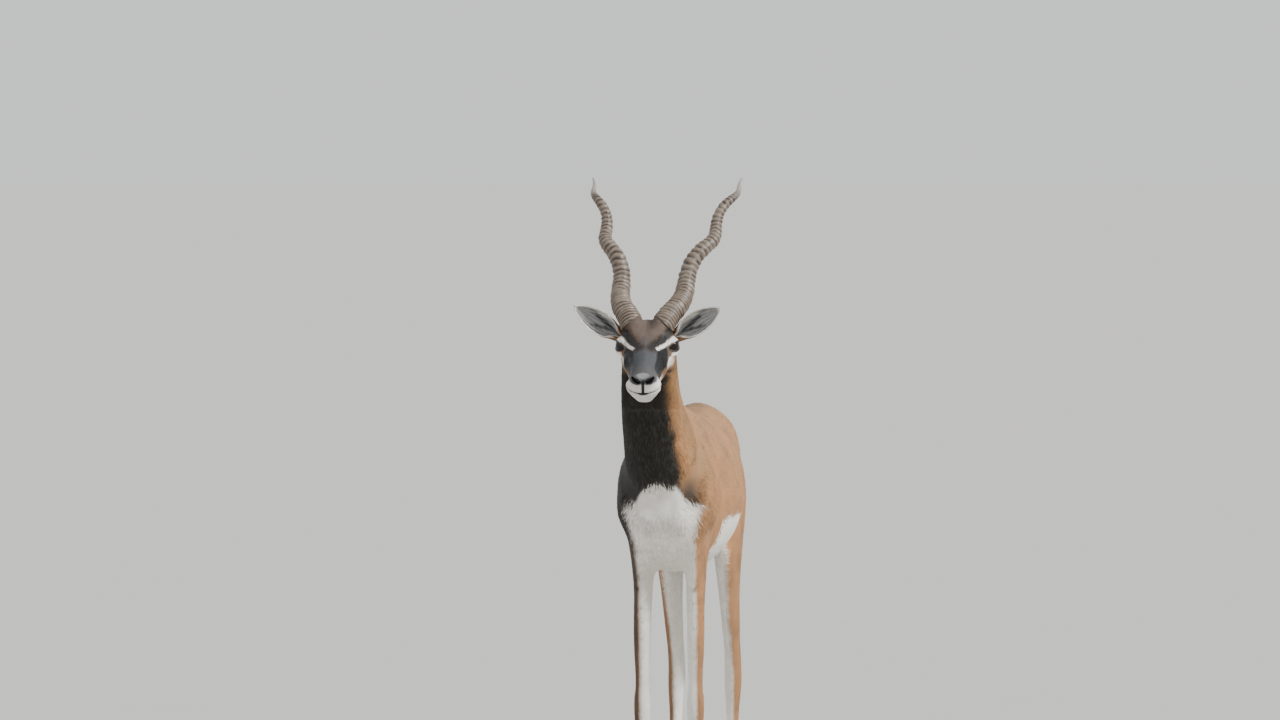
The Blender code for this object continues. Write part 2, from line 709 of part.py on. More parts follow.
def thin(skin):
    """Takes the skin down to its share of triangles, the head's kept finer."""
    group = skin.vertex_groups.new(name="face")
    for vert in skin.data.vertices:
        face = vert.co.y < HEAD_BACK and vert.co.z > HEAD_LOW
        group.add([vert.index], HEAD_FINENESS if face else 0.0, "REPLACE")
    decimate = skin.modifiers.new("Decimate", "DECIMATE")
    decimate.ratio = BODY_SHARE
    decimate.vertex_group = "face"
    decimate.invert_vertex_group = True
    decimate.vertex_group_factor = HEAD_WEIGHT
    decimate.use_collapse_triangulate = True
    return applied(skin)


def eye_axes(side):
    """The eye's own axes: along the lids, up, and the way it looks."""
    looks = Vector((side * EYE_LOOK[0], *EYE_LOOK[1:])).normalized()
    along = Vector((0.0, math.cos(LID_SLANT), -math.sin(LID_SLANT)))
    along = (along - looks * along.dot(looks)).normalized()
    up = looks.cross(along) * side
    columns = [head_axes() @ v for v in (along, up, looks)]
    return Matrix(columns).transposed()


def eye_centre(side):
    """The middle of the eye ball."""
    return head_point(side * EYE_SPREAD, EYE_FORWARD, EYE_RISE)


def add_lids(head, side):
    """A ring of lids around each eye, with a socket for the ball and an almond opening."""
    centre = eye_centre(side)
    axes = eye_axes(side)
    outer = ball("lids", centre, [EYE_RADIUS + LID_THICKNESS] * 3, axes, *EYE_GRID)
    boolean(head, outer, "UNION", "MANIFOLD")
    socket = ball("socket", centre, [EYE_RADIUS + GAP] * 3, axes, *EYE_GRID)
    boolean(head, socket, "DIFFERENCE", "MANIFOLD")
    front = centre + axes @ Vector((0, 0, EYE_RADIUS))
    opening = ball("opening", front, OPENING_RADII, axes, *EYE_GRID)
    boolean(head, opening, "DIFFERENCE", "MANIFOLD")


def eye(side):
    """One eye ball."""
    return ball("eye_" + WORDS[side], eye_centre(side), [EYE_RADIUS] * 3, eye_axes(side), *EYE_GRID)


def add_nostrils(head):
    """The two slanted slits of the nostrils."""
    for side in (-1, 1):
        turn = Matrix.Rotation(side * NOSTRIL_TURN, 3, "Z") @ Matrix.Rotation(side * NOSTRIL_TILT, 3, "Y")
        centre = head_point(side * NOSTRIL[0], *NOSTRIL[1:])
        cutter = ball("nostril", centre, NOSTRIL_RADII, head_axes() @ turn, *SLIT_GRID)
        boolean(head, cutter, "DIFFERENCE", "MANIFOLD")


def add_glands(head):
    """The slit of the gland below the front corner of each eye."""
    for side in (-1, 1):
        centre = head_point(side * GLAND[0], *GLAND[1:])
        cutter = ball("gland", centre, GLAND_RADII, head_axes(), *SLIT_GRID)
        boolean(head, cutter, "DIFFERENCE", "MANIFOLD")


def add_mouth(head):
    """The line of the mouth: a thin groove from one corner round the front to the other."""
    shape = bmesh.new()
    shape.from_mesh(head.data)
    tree = BVHTree.FromBMesh(shape)
    shape.free()
    inner, outer = [], []
    axes = head_axes()
    hub = (0.0, MOUTH_CORNER, MOUTH_LEVEL)
    for i in range(MOUTH_STEPS + 1):
        angle = math.pi * (i / MOUTH_STEPS)
        ray = Vector((math.cos(angle), math.sin(angle), MOUTH_FALL * math.sin(angle))).normalized()
        hit, _, _, distance = tree.ray_cast(head_point(*hub), axes @ ray)
        inner.append(head_point(*(Vector(hub) + ray * (distance - MOUTH_DEPTH))))
        outer.append(head_point(*(Vector(hub) + ray * (distance + MOUTH_DEPTH))))
    rise = axes @ Vector((0, 0, MOUTH_HEIGHT / 2))
    rings = [[a - rise, b - rise, b + rise, a + rise] for a, b in zip(inner, outer)]
    boolean(head, loft("mouth", rings), "DIFFERENCE", "MANIFOLD")


def leg_plane(foot, index):
    """The centre and the normal of the flat cut through one row of a leg."""
    y1, z1, y2, z2, x, _ = foot_shift(LEGS[foot], foot)[index]
    side = 1 if foot.endswith("left") else -1
    centre = Vector((side * x, (y1 + y2) / 2, (z1 + z2) / 2))
    return centre, Vector((0, y2 - y1, z2 - z1)).cross(Vector((1, 0, 0))).normalized()


def coronet_plane(foot):
    """The centre and the normal of the flat end of a pastern, where the claws begin."""
    y1, z1, y2, z2, x, _ = foot_shift(LEGS[foot], foot)[CORONET_ROW]
    side = 1 if foot.endswith("left") else -1
    centre = Vector((side * x, (y1 + y2) / 2, (z1 + z2) / 2))
    normal = Vector((0, y2 - y1, z2 - z1)).cross(Vector((1, 0, 0))).normalized()
    return centre, normal if normal.z > 0 else -normal


def claw(foot, place):
    """One claw: half of a hoof, from the coronet down to its flat sole on the floor."""
    centre, normal = coronet_plane(foot)
    y1, z1, y2, z2, _, width = foot_shift(LEGS[foot], foot)[CORONET_ROW]
    half = (Vector((0, y2, z2)) - Vector((0, y1, z1))).length / 2
    back = Vector((0, y2 - y1, z2 - z1)).normalized()
    top_centre = centre - normal * GAP
    sections = []
    for share in CLAW_SHARES:
        section = []
        for i in range(CLAW_SIDES):
            angle = math.pi * i / (CLAW_SIDES - 1)
            out = math.sin(angle) ** CLAW_ROUNDNESS
            out *= (width - CLAW_INSET) * (1 + CLAW_FLARE * share)
            ahead = -math.cos(angle)
            top = top_centre + back * (ahead * half * CLAW_TOP_SHARE)
            length = CLAW_FRONT if ahead < 0 else CLAW_BACK
            low = Vector((centre.x, centre.y + ahead * length + CLAW_FORWARD, 0.0))
            point = top + (low - top) * share
            splay = place * (CLAW_PARTING + CLAW_SPLAY * share * (0.5 - ahead * 0.5))
            section.append(Vector((centre.x + splay + place * out, point.y, point.z)))
        sections.append(section)
    name = "claw_" + foot + ("_outer" if place * centre.x > 0 else "_inner")
    return loft(name, sections)


def beyond(centre, normal, reach, depth):
    """A block that stands on a plane, to clear away whatever lies beyond it."""
    normal = Vector(normal).normalized()
    along = Vector((0, 1, 0)) if abs(normal.y) < 0.9 else Vector((1, 0, 0))
    return slab("trim", centre + normal * depth / 2, normal, reach, reach, depth, along)


def trim_ends(body):
    """Cuts the ends that horns, ears, tail and claws stand on to flat faces."""
    for side in (-1, 1):
        base, direction = horn_start(side)
        boolean(body, beyond(base, direction, *HORN_TRIM), "DIFFERENCE")
        root, along, facing, _ = ear_frame(side)
        middle = root + facing * (EAR_DEPTH * EAR_PROFILE[0][1])
        boolean(body, beyond(middle - along * GAP, along, *EAR_TRIM), "DIFFERENCE")
    boolean(body, beyond(TAIL_ROOT, tail_direction(), *TAIL_TRIM), "DIFFERENCE")
    for foot in LEGS:
        centre, normal = coronet_plane(foot)
        boolean(body, beyond(centre, -normal, *CLAW_TRIM), "DIFFERENCE")


def part_cuts():
    """The thin slabs that part the skin into its nodes."""
    slabs = [
        slab("cut", *HEAD_CUT, *HEAD_SLAB),
        slab("cut", *NECK_CUT, *NECK_SLAB),
        slab("cut", *RUMP_CUT, *RUMP_SLAB, along=Vector((0, 0, 1))),
    ]
    for foot in LEGS:
        for index in LEG_CUTS[foot[:4]]:
            centre, normal = leg_plane(foot, index)
            wide = LEG_CUT_WIDTHS[LEG_CUTS[foot[:4]].index(index)]
            slabs.append(slab("cut", centre, normal, wide / 2, wide))
    return joined("cuts", slabs)


def pieces_of(body):
    """The closed pieces of the cut skin, largest first, as new objects."""
    shape = bmesh.new()
    shape.from_mesh(body.data)
    shape.verts.ensure_lookup_table()
    left = set(range(len(shape.verts)))
    groups = []
    while left:
        queue = [left.pop()]
        group = set(queue)
        while queue:
            for edge in shape.verts[queue.pop()].link_edges:
                for vert in edge.verts:
                    if vert.index in left:
                        left.discard(vert.index)
                        group.add(vert.index)
                        queue.append(vert.index)
        groups.append(group)
    made = []
    for group in sorted(groups, key=len, reverse=True):
        order = {index: place for place, index in enumerate(sorted(group))}
        points = [shape.verts[index].co.copy() for index in sorted(group)]
        own = [face for face in shape.faces if face.verts[0].index in group]
        faces = [tuple(order[v.index] for v in face.verts) for face in own]
        made.append(mesh_object("piece", points, faces))
    shape.free()
    bpy.data.objects.remove(body)
    return made


def centre_of(obj):
    """The middle of the object's box."""
    points = np.array([v.co for v in obj.data.vertices])
    return Vector((points.min(0) + points.max(0)) / 2)


def expected_places():
    """Where the middle of each piece of the skin should lie, by name."""
    places = dict(FLESH_PLACES)
    for foot in LEGS:
        cuts = [leg_plane(foot, index)[0] for index in LEG_CUTS[foot[:4]]]
        cuts.append(coronet_plane(foot)[0])
        for part, upper, lower in zip(LEG_PARTS[foot[:4]], cuts, cuts[1:]):
            places[part + "_" + foot] = (upper + lower) / 2
    return places


def name_pieces(pieces):
    """Names the nearest piece for each expected place and removes stray chips."""
    named = []
    for name, place in expected_places().items():
        nearest = min(pieces, key=lambda piece: (centre_of(piece) - place).length)
        pieces.remove(nearest)
        nearest.name = name
        nearest.data.name = name
        named.append(nearest)
    for chip in pieces:
        bpy.data.objects.remove(chip)
    return named


def triangulated(obj):
    """Turns every face into triangles and drops those of no size."""
    shape = bmesh.new()
    shape.from_mesh(obj.data)
    bmesh.ops.triangulate(shape, faces=shape.faces)
    bmesh.ops.dissolve_degenerate(shape, edges=shape.edges, dist=TINY)
    shape.to_mesh(obj.data)
    shape.free()


def finish_nodes(nodes):
    """Puts the middle of the model's base at the origin and gives each node its material."""
    points = np.array([v.co for obj in nodes for v in obj.data.vertices])
    middle = (points.min(0) + points.max(0)) / 2
    shift = Matrix.Translation((-middle[0], -middle[1], -points.min(0)[2]))
    for obj in nodes:
        obj.data.transform(shift)
        triangulated(obj)
        red, green, blue, rough = next(
            value for start, value in COLOURS.items() if obj.name.startswith(start)
        )
        material = bpy.data.materials.new(obj.name)
        material.use_nodes = True
        shader = material.node_tree.nodes["Principled BSDF"]
        shader.inputs["Base Color"].default_value = (red, green, blue, 1.0)
        shader.inputs["Roughness"].default_value = rough
        shader.inputs["Metallic"].default_value = 0.0
        obj.data.materials.clear()
        obj.data.materials.append(material)


def clear_scene():
    """Removes every object that the file starts with."""
    for obj in list(bpy.data.objects):
        bpy.data.objects.remove(obj)


def main():
    """Builds every node of the model."""
    clear_scene()
    body = thin(fused_skin())
    trim_ends(body)
    boolean(body, part_cuts(), "DIFFERENCE")
    nodes = name_pieces(pieces_of(body))
    head = next(obj for obj in nodes if obj.name == "head")
    for side in (-1, 1):
        add_lids(head, side)
    add_glands(head)
    add_nostrils(head)
    add_mouth(head)
    for side in (-1, 1):
        nodes += [horn(side), ear(side), eye(side)]
    nodes.append(tail())
    nodes += [claw(foot, place) for foot in LEGS for place in (-1, 1)]
    finish_nodes(nodes)


main()
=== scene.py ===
"""Blackbuck, adult male: the looks of a still, life-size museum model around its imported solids.

Metres, +Z up. The stations below are in the animal's own axes, where it faces -Y and its left
side is +X; finished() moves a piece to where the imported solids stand. One skin replaces all the
nodes of flesh, and the coat is joined meshes of flat tapered tufts that follow its lie.
"""

import math

import bmesh
import bpy
import numpy as np
from bpy.props import FloatProperty, FloatVectorProperty, IntProperty, PointerProperty
from mathutils import Matrix, Vector
from mathutils.bvhtree import BVHTree


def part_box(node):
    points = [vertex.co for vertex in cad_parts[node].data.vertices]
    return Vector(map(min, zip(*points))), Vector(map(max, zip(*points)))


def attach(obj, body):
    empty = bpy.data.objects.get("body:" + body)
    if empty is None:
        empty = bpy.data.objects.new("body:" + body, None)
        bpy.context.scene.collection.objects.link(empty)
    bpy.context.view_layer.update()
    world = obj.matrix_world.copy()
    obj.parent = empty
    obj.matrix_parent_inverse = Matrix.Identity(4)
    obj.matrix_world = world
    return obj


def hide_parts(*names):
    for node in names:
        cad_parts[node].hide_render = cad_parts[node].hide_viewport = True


bl_info = {
    "name": "Blackbuck model",
    "version": (1, 0, 0),
    "blender": (4, 5, 0),
    "location": "3D View > Sidebar > Blackbuck",
    "description": "Builds the skin, coat, horns, eyes, claws and stage of a life-size blackbuck",
    "category": "Object",
}

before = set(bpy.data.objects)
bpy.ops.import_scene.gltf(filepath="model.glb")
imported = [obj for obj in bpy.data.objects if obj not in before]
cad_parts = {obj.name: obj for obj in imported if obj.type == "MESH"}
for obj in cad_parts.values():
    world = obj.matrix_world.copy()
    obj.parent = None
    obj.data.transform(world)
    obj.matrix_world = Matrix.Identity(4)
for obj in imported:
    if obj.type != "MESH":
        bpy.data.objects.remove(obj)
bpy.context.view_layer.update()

# Head axes: x sideways, u towards the nose, v up
EYE_LINE = Vector((0.0, -0.345, 0.875))
HEAD_PITCH = math.radians(27)
HEAD_YAW = math.radians(3)
EYE_RADIUS = 0.0155
EYE_SPREAD = 0.0385
EYE_FORWARD = -0.002
EYE_RISE = 0.004
EYE_LOOK = (0.86, 0.48, 0.16)
LID_SLANT = math.radians(-12)
MOUTH_CORNER = 0.082
MOUTH_LEVEL = -0.0215
HORN_FIRST_BEND = 0.130
HORN_TURNS = 2.53
HORN_TIGHTENING = 1.4
HORN_WIND = 0.0082
HORN_WIND_FADE = 0.38
HORN_WOUND_SHARE = 0.93
HORN_BASE = (0.0285, -0.030, 0.034)
HORN_TIP = Vector((0.1290, -0.037, 1.165))
EAR_LENGTH = 0.096
EAR_DEPTH = 0.55
EAR_OPEN_SHARE = 0.22
EAR_FACING = Vector((0.10, -1.0, 0.10))
EAR_THICKNESS = 0.0030
EAR_ROOT = (0.0480, -0.050, -0.002)
EAR_TIP = Vector((0.1240, -0.330, 0.9445))
TAIL_ROOT = Vector((0.0, 0.6045, 0.715))
TAIL_TIP = Vector((0.0, 0.617, 0.578))
TAIL_CURVE = 0.005
SIDES = {1: "left", -1: "right"}

# Horn profile: share of the length, radius
HORN_PROFILE = [
    (0.00, 0.0198),
    (0.08, 0.0178),
    (0.20, 0.0158),
    (0.39, 0.0138),
    (0.52, 0.0118),
    (0.70, 0.0095),
    (0.84, 0.0070),
    (0.93, 0.0044),
    (1.00, 0.0012),
]

# Ear profile: share of the length, half width, half of the arc that the cup spans in degrees
EAR_PROFILE = [
    (0.00, 0.0115, 165),
    (0.14, 0.0140, 150),
    (0.28, 0.0178, 120),
    (0.43, 0.0204, 98),
    (0.57, 0.0203, 84),
    (0.72, 0.0172, 72),
    (0.87, 0.0110, 60),
    (1.00, 0.0030, 50),
]

# Tail profile: share of the length, half width, half depth
TAIL_PROFILE = [
    (0.00, 0.0145, 0.0145),
    (0.20, 0.0160, 0.0130),
    (0.50, 0.0185, 0.0110),
    (0.80, 0.0160, 0.0090),
    (1.00, 0.0050, 0.0040),
]

# How far each foot stands forward (-) or back (+) of its plain stance
FOOT_SHIFT = {"fore_left": -0.012, "fore_right": 0.014, "hind_left": 0.030, "hind_right": -0.022}
FOOT_SHIFT_TOP = 0.50

# Trunk: y, top z, bottom z, half width, level of the widest part (-1 low, 1 high)
TRUNK = [
    (-0.152, 0.682, 0.592, 0.036, -0.1),
    (-0.128, 0.724, 0.546, 0.062, -0.1),
    (-0.088, 0.760, 0.512, 0.077, -0.1),
    (-0.040, 0.777, 0.495, 0.082, -0.1),
    (0.000, 0.784, 0.488, 0.085, -0.1),
    (0.060, 0.779, 0.484, 0.092, -0.1),
    (0.130, 0.770, 0.484, 0.099, -0.1),
    (0.200, 0.765, 0.488, 0.1025, -0.1),
    (0.270, 0.765, 0.499, 0.101, -0.1),
    (0.340, 0.770, 0.520, 0.091, 0.0),
    (0.400, 0.776, 0.546, 0.080, 0.1),
    (0.460, 0.774, 0.570, 0.073, 0.2),
    (0.520, 0.759, 0.598, 0.064, 0.2),
    (0.565, 0.729, 0.625, 0.052, 0.1),
    (0.590, 0.700, 0.652, 0.028, 0.0),
]

# Neck: top y, top z, bottom y, bottom z, half width, sideways place
NECK = [
    (0.030, 0.760, -0.095, 0.560, 0.060, 0.0),
    (-0.045, 0.786, -0.170, 0.625, 0.064, -0.004),
    (-0.105, 0.813, -0.208, 0.684, 0.0575, -0.0085),
    (-0.160, 0.847, -0.236, 0.738, 0.0535, -0.0095),
    (-0.212, 0.884, -0.256, 0.785, 0.0510, -0.0080),
    (-0.256, 0.912, -0.276, 0.826, 0.0470, -0.0050),
    (-0.300, 0.915, -0.315, 0.850, 0.0400, -0.0015),
]

# Head: u, top v, bottom v, half width, level, fullness of the upper and the lower half
HEAD = [
    (-0.100, -0.014, -0.052, 0.024, 0.0, 1.0, 1.0),
    (-0.082, 0.006, -0.060, 0.037, 0.0, 0.9, 1.0),
    (-0.056, 0.028, -0.066, 0.044, 0.1, 0.85, 1.1),
    (-0.030, 0.039, -0.068, 0.0465, 0.2, 0.85, 1.2),
    (-0.005, 0.038, -0.064, 0.0460, 0.3, 0.8, 1.3),
    (0.020, 0.0335, -0.058, 0.0430, 0.3, 0.8, 1.3),
    (0.045, 0.0315, -0.052, 0.0375, 0.2, 0.95, 1.25),
    (0.070, 0.0290, -0.0465, 0.0310, 0.1, 1.0, 1.1),
    (0.092, 0.0265, -0.0440, 0.0262, 0.0, 1.0, 1.08),
    (0.112, 0.0240, -0.0420, 0.0272, -0.1, 1.0, 1.05),
    (0.127, 0.0200, -0.0355, 0.0268, -0.1, 0.95, 1.05),
    (0.137, 0.0130, -0.0250, 0.0225, 0.0, 0.95, 1.1),
    (0.142, 0.0040, -0.0130, 0.0120, 0.0, 1.0, 1.0),
]

# Masses that round the head out: x, u, v, then radii; each is made on both sides
HEAD_MASSES = [
    ((0.0330, -0.030, -0.030), (0.0150, 0.0320, 0.0280)),
    ((0.0370, -0.002, 0.003), (0.0190, 0.0215, 0.0200)),
    ((0.0270, 0.048, -0.004), (0.0130, 0.0230, 0.0150)),
    ((0.0135, 0.120, -0.008), (0.0175, 0.0200, 0.0165)),
    ((0.0040, 0.109, -0.034), (0.0135, 0.0180, 0.0105)),
    ((0.0110, 0.131, 0.008), (0.0120, 0.0100, 0.0110)),
]

# Fore leg: front y, front z, back y, back z, x, half width
FORE_LEG = [
    (-0.075, 0.690, 0.030, 0.700, 0.044, 0.0260),
    (-0.118, 0.640, 0.055, 0.655, 0.054, 0.0310),
    (-0.126, 0.590, 0.060, 0.600, 0.057, 0.0320),
    (-0.100, 0.540, 0.056, 0.545, 0.0475, 0.0245),
    (-0.070, 0.500, 0.050, 0.495, 0.0458, 0.0212),
    (-0.052, 0.462, 0.042, 0.458, 0.0456, 0.0193),
    (-0.044, 0.425, 0.020, 0.425, 0.0460, 0.0180),
    (-0.038, 0.380, 0.010, 0.380, 0.0465, 0.0165),
    (-0.032, 0.330, 0.003, 0.330, 0.0465, 0.0145),
    (-0.029, 0.292, 0.001, 0.292, 0.0465, 0.0138),
    (-0.0310, 0.265, 0.003, 0.265, 0.0465, 0.0160),
    (-0.0305, 0.238, 0.004, 0.238, 0.0465, 0.0155),
    (-0.0260, 0.212, 0.001, 0.212, 0.0465, 0.0122),
    (-0.0240, 0.170, -0.001, 0.170, 0.0465, 0.0105),
    (-0.0240, 0.120, -0.001, 0.120, 0.0465, 0.0108),
    (-0.0260, 0.095, 0.006, 0.092, 0.0465, 0.0135),
    (-0.0290, 0.079, 0.007, 0.074, 0.0465, 0.0138),
    (-0.0350, 0.058, -0.001, 0.050, 0.0465, 0.0125),
    (-0.0420, 0.038, -0.002, 0.024, 0.0465, 0.0148),
    (-0.0460, 0.020, -0.004, 0.006, 0.0465, 0.0148),
]

# Hind leg: the same
HIND_LEG = [
    (0.400, 0.702, 0.550, 0.702, 0.032, 0.0280),
    (0.362, 0.655, 0.585, 0.675, 0.043, 0.0315),
    (0.347, 0.605, 0.595, 0.635, 0.0495, 0.0310),
    (0.342, 0.552, 0.586, 0.592, 0.0505, 0.0295),
    (0.350, 0.505, 0.568, 0.548, 0.0505, 0.0265),
    (0.383, 0.458, 0.553, 0.502, 0.0500, 0.0225),
    (0.424, 0.412, 0.548, 0.452, 0.0495, 0.0190),
    (0.460, 0.372, 0.553, 0.407, 0.0490, 0.0165),
    (0.488, 0.337, 0.565, 0.366, 0.0485, 0.0145),
    (0.506, 0.305, 0.577, 0.330, 0.0480, 0.0150),
    (0.514, 0.275, 0.570, 0.290, 0.0480, 0.0155),
    (0.516, 0.245, 0.552, 0.250, 0.0480, 0.0130),
    (0.513, 0.190, 0.540, 0.190, 0.0480, 0.0110),
    (0.508, 0.135, 0.534, 0.135, 0.0480, 0.0108),
    (0.503, 0.104, 0.535, 0.101, 0.0480, 0.0135),
    (0.498, 0.087, 0.534, 0.082, 0.0480, 0.0138),
    (0.490, 0.062, 0.526, 0.054, 0.0480, 0.0125),
    (0.484, 0.038, 0.524, 0.024, 0.0480, 0.0148),
    (0.480, 0.020, 0.522, 0.006, 0.0480, 0.0148),
]

LEGS = {
    "fore_left": FORE_LEG,
    "fore_right": FORE_LEG,
    "hind_left": HIND_LEG,
    "hind_right": HIND_LEG,
}
FETLOCK_ROW = {"fore": 16, "hind": 15}
CORONET_ROW = -2

# Muscle masses on both sides: centre, radii, tilt about X in degrees
BODY_MASSES = [
    ((0.048, -0.050, 0.628), (0.0400, 0.066, 0.086), -18),
    ((0.046, 0.020, 0.560), (0.0300, 0.048, 0.060), 12),
    ((0.018, -0.112, 0.596), (0.0400, 0.042, 0.052), 0),
    ((0.042, 0.470, 0.632), (0.0370, 0.105, 0.080), 0),
    ((0.034, 0.410, 0.732), (0.0230, 0.060, 0.022), -6),
]

# The skin
SPLINE_STEP = 0.012
RING_SIDES = 28
VOXEL = 0.0047
SMOOTH_ALL = 2
SMOOTH_TRUNK = 15
TRUNK_LOW = 0.40
TRUNK_STEP = 0.017
TRUNK_STEPS = 5
TRUNK_FRONT = -0.24
HEAD_STEP = 0.006
# How full a section's upper and lower halves are (less is fuller), and the neck's widest level
TRUNK_FULL, NECK_FULL, NECK_LEVEL = (1.15, 1.0), (1.1, 1.0), -0.15
# The feet have their whole shift a little above the ground
FOOT_SHIFT_GAIN = 1.15

# Plain round bodies under the skin: a place along the part's own direction, and the radius there
HORN_BOSS = ((-0.030, 0.0170), (-0.010, 0.0200), (0.0, 0.0192), (0.006, 0.0180))
EAR_GRISTLE = ((-0.030, 0.0170), (-0.012, 0.0140), (-0.004, 0.0115), (0.001, 0.0090))
TAIL_END = ((0.0, 0.0150), (0.008, 0.0145))
# Start of the tail: place before its root, direction, radius
TAIL_START = (
    ((0.0, -0.060, 0.012), (0.0, 1.0, -0.05), 0.0210),
    ((0.0, -0.026, 0.014), (0.0, 1.0, -0.25), 0.0185),
    ((0.0, -0.006, 0.008), (0.0, 0.7, -0.7), 0.0165),
)
DEWCLAW_PLACES = ((-0.0080, -0.001, -0.010), (0.0080, -0.001, -0.010))
DEWCLAW_RADII = (0.0055, 0.0060, 0.0090)


def sided(place, side):
    """A place given for the animal's left, on this side."""
    return (side * place[0], *place[1:])


def head_point(x, u, v):
    """A point of the head's own axes in the animal's."""
    forward = Vector((0.0, -math.cos(HEAD_PITCH), -math.sin(HEAD_PITCH)))
    upward = Vector((0.0, -math.sin(HEAD_PITCH), math.cos(HEAD_PITCH)))
    place = Vector((x, 0.0, 0.0)) + forward * u + upward * v
    return EYE_LINE + Matrix.Rotation(HEAD_YAW, 3, "Z") @ place


def head_axes():
    """The head's own x, forward and upward axes as the columns of a matrix."""
    columns = [head_point(*axis) - EYE_LINE for axis in ((1, 0, 0), (0, 1, 0), (0, 0, 1))]
    return Matrix(columns).transposed()


def to_head(points):
    """Points of the animal's axes, as rows, in the head's own x, u and v."""
    return (points - np.array(EYE_LINE)) @ np.array(head_axes())


def frame_shift():
    """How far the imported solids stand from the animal's own axes, read from its eyes."""
    corners = [Vector(c) for side in SIDES.values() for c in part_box("eye_" + side)]
    middle = sum(corners, Vector()) / len(corners)
    return middle - head_point(0.0, EYE_FORWARD, EYE_RISE)


def blend_rows(rows, step=SPLINE_STEP):
    """Rows of station values resampled on a smooth cubic, about one step apart."""
    rows = np.array(rows, float)
    places = rows[:, :4] if rows.shape[1] > 5 else rows[:, :3]
    lengths = np.linalg.norm(np.diff(places, axis=0), axis=1)
    knots = np.concatenate([[0.0], np.cumsum(lengths)])
    slopes = np.gradient(rows, knots, axis=0)
    wanted = np.linspace(0.0, knots[-1], max(3, round(knots[-1] / step)))
    spans = np.clip(np.searchsorted(knots, wanted, side="right") - 1, 0, len(knots) - 2)
    width = (knots[spans + 1] - knots[spans])[:, None]
    t = (wanted - knots[spans])[:, None] / width
    start, end = rows[spans], rows[spans + 1]
    leave, arrive = slopes[spans] * width, slopes[spans + 1] * width
    return (
        start * (2 * t**3 - 3 * t**2 + 1)
        + leave * (t**3 - 2 * t**2 + t)
        + end * (3 * t**2 - 2 * t**3)
        + arrive * (t**3 - t**2)
    )


def ring(upper, lower, x, half_width, level=0.0, full_up=1.0, full_down=1.0):
    """A closed section between an upper and a lower point, widest at the level between them."""
    upper, lower = Vector(upper), Vector(lower)
    middle = (upper + lower) / 2 + (upper - lower) / 2 * level
    points = []
    for i in range(RING_SIDES):
        angle = 2 * math.pi * i / RING_SIDES
        up, side = math.cos(angle), math.sin(angle)
        reach = (upper - middle) * up if up > 0 else (lower - middle) * -up
        power = full_up if up > 0 else full_down
        out = math.copysign(abs(side) ** power, side) * half_width
        points.append(middle + reach + Vector((x + out, 0.0, 0.0)))
    return points


def placed(name, shape):
    """A new object in the scene from an edit mesh, which is freed."""
    mesh = bpy.data.meshes.new(name)
    shape.to_mesh(mesh)
    shape.free()
    made = bpy.data.objects.new(name, mesh)
    bpy.context.scene.collection.objects.link(made)
    return made


def mesh_object(name, points, faces):
    """A new object with this mesh, its faces pointing out."""
    mesh = bpy.data.meshes.new(name)
    mesh.from_pydata([tuple(p) for p in points], [], faces)
    shape = bmesh.new()
    shape.from_mesh(mesh)
    bpy.data.meshes.remove(mesh)
    bmesh.ops.recalc_face_normals(shape, faces=shape.faces)
    if shape.calc_volume(signed=True) < 0:
        bmesh.ops.reverse_faces(shape, faces=shape.faces)
    return placed(name, shape)


def ring_faces(count, sides, closed=False):
    """The four-sided faces between rings of points that follow one another."""
    return [
        (
            i * sides + j,
            i * sides + (j + 1) % sides,
            (i + 1) % count * sides + (j + 1) % sides,
            (i + 1) % count * sides + j,
        )
        for i in range(count if closed else count - 1)
        for j in range(sides)
    ]


def loft(name, rings, tip=None):
    """A closed body through rings of one size, capped flat, or drawn to a tip at its end."""
    sides = len(rings[0])
    points = [p for section in rings for p in section]
    faces = ring_faces(len(rings), sides)
    faces.append(tuple(range(sides)))
    last = (len(rings) - 1) * sides
    if tip is None:
        faces.append(tuple(range(last, last + sides)))
    else:
        points.append(tip)
        faces += [(last + j, last + (j + 1) % sides, len(points) - 1) for j in range(sides)]
    return mesh_object(name, points, faces)


def ball(name, centre, radii, axes=None, segments=24, rings=14):
    """A closed ellipsoid, its radii along the columns of axes."""
    shape = bmesh.new()
    bmesh.ops.create_uvsphere(shape, u_segments=segments, v_segments=rings, radius=1.0)
    axes = Matrix.Identity(3) if axes is None else axes
    turn = axes.to_4x4() @ Matrix.Diagonal((*radii, 1.0))
    bmesh.ops.transform(shape, matrix=Matrix.Translation(centre) @ turn, verts=shape.verts)
    if axes.determinant() < 0:
        bmesh.ops.reverse_faces(shape, faces=shape.faces)
    return placed(name, shape)


def applied(obj):
    """Puts the object's modifiers into its mesh."""
    bpy.context.view_layer.update()
    graph = bpy.context.evaluated_depsgraph_get()
    mesh = bpy.data.meshes.new_from_object(obj.evaluated_get(graph))
    obj.modifiers.clear()
    obj.data = mesh
    return obj


def joined(name, objects):
    """The objects' meshes in one new object; the objects are removed."""
    shape = bmesh.new()
    for obj in objects:
        shape.from_mesh(obj.data)
        bpy.data.objects.remove(obj)
    return placed(name, shape)


def foot_shift(rows, foot):
    """The leg's rows slanted so that its foot stands forward or back of the plain stance."""
    shift = FOOT_SHIFT[foot]
    moved = []
    for y1, z1, y2, z2, x, width in rows:
        front, back = (
            shift * min(1.0, FOOT_SHIFT_GAIN * max(0.0, 1 - z / FOOT_SHIFT_TOP)) for z in (z1, z2)
        )
        moved.append((y1 + front, z1, y2 + back, z2, x, width))
    return moved


def foot_side(foot):
    """1 for a left foot and -1 for a right one."""
    return 1 if foot.endswith("left") else -1


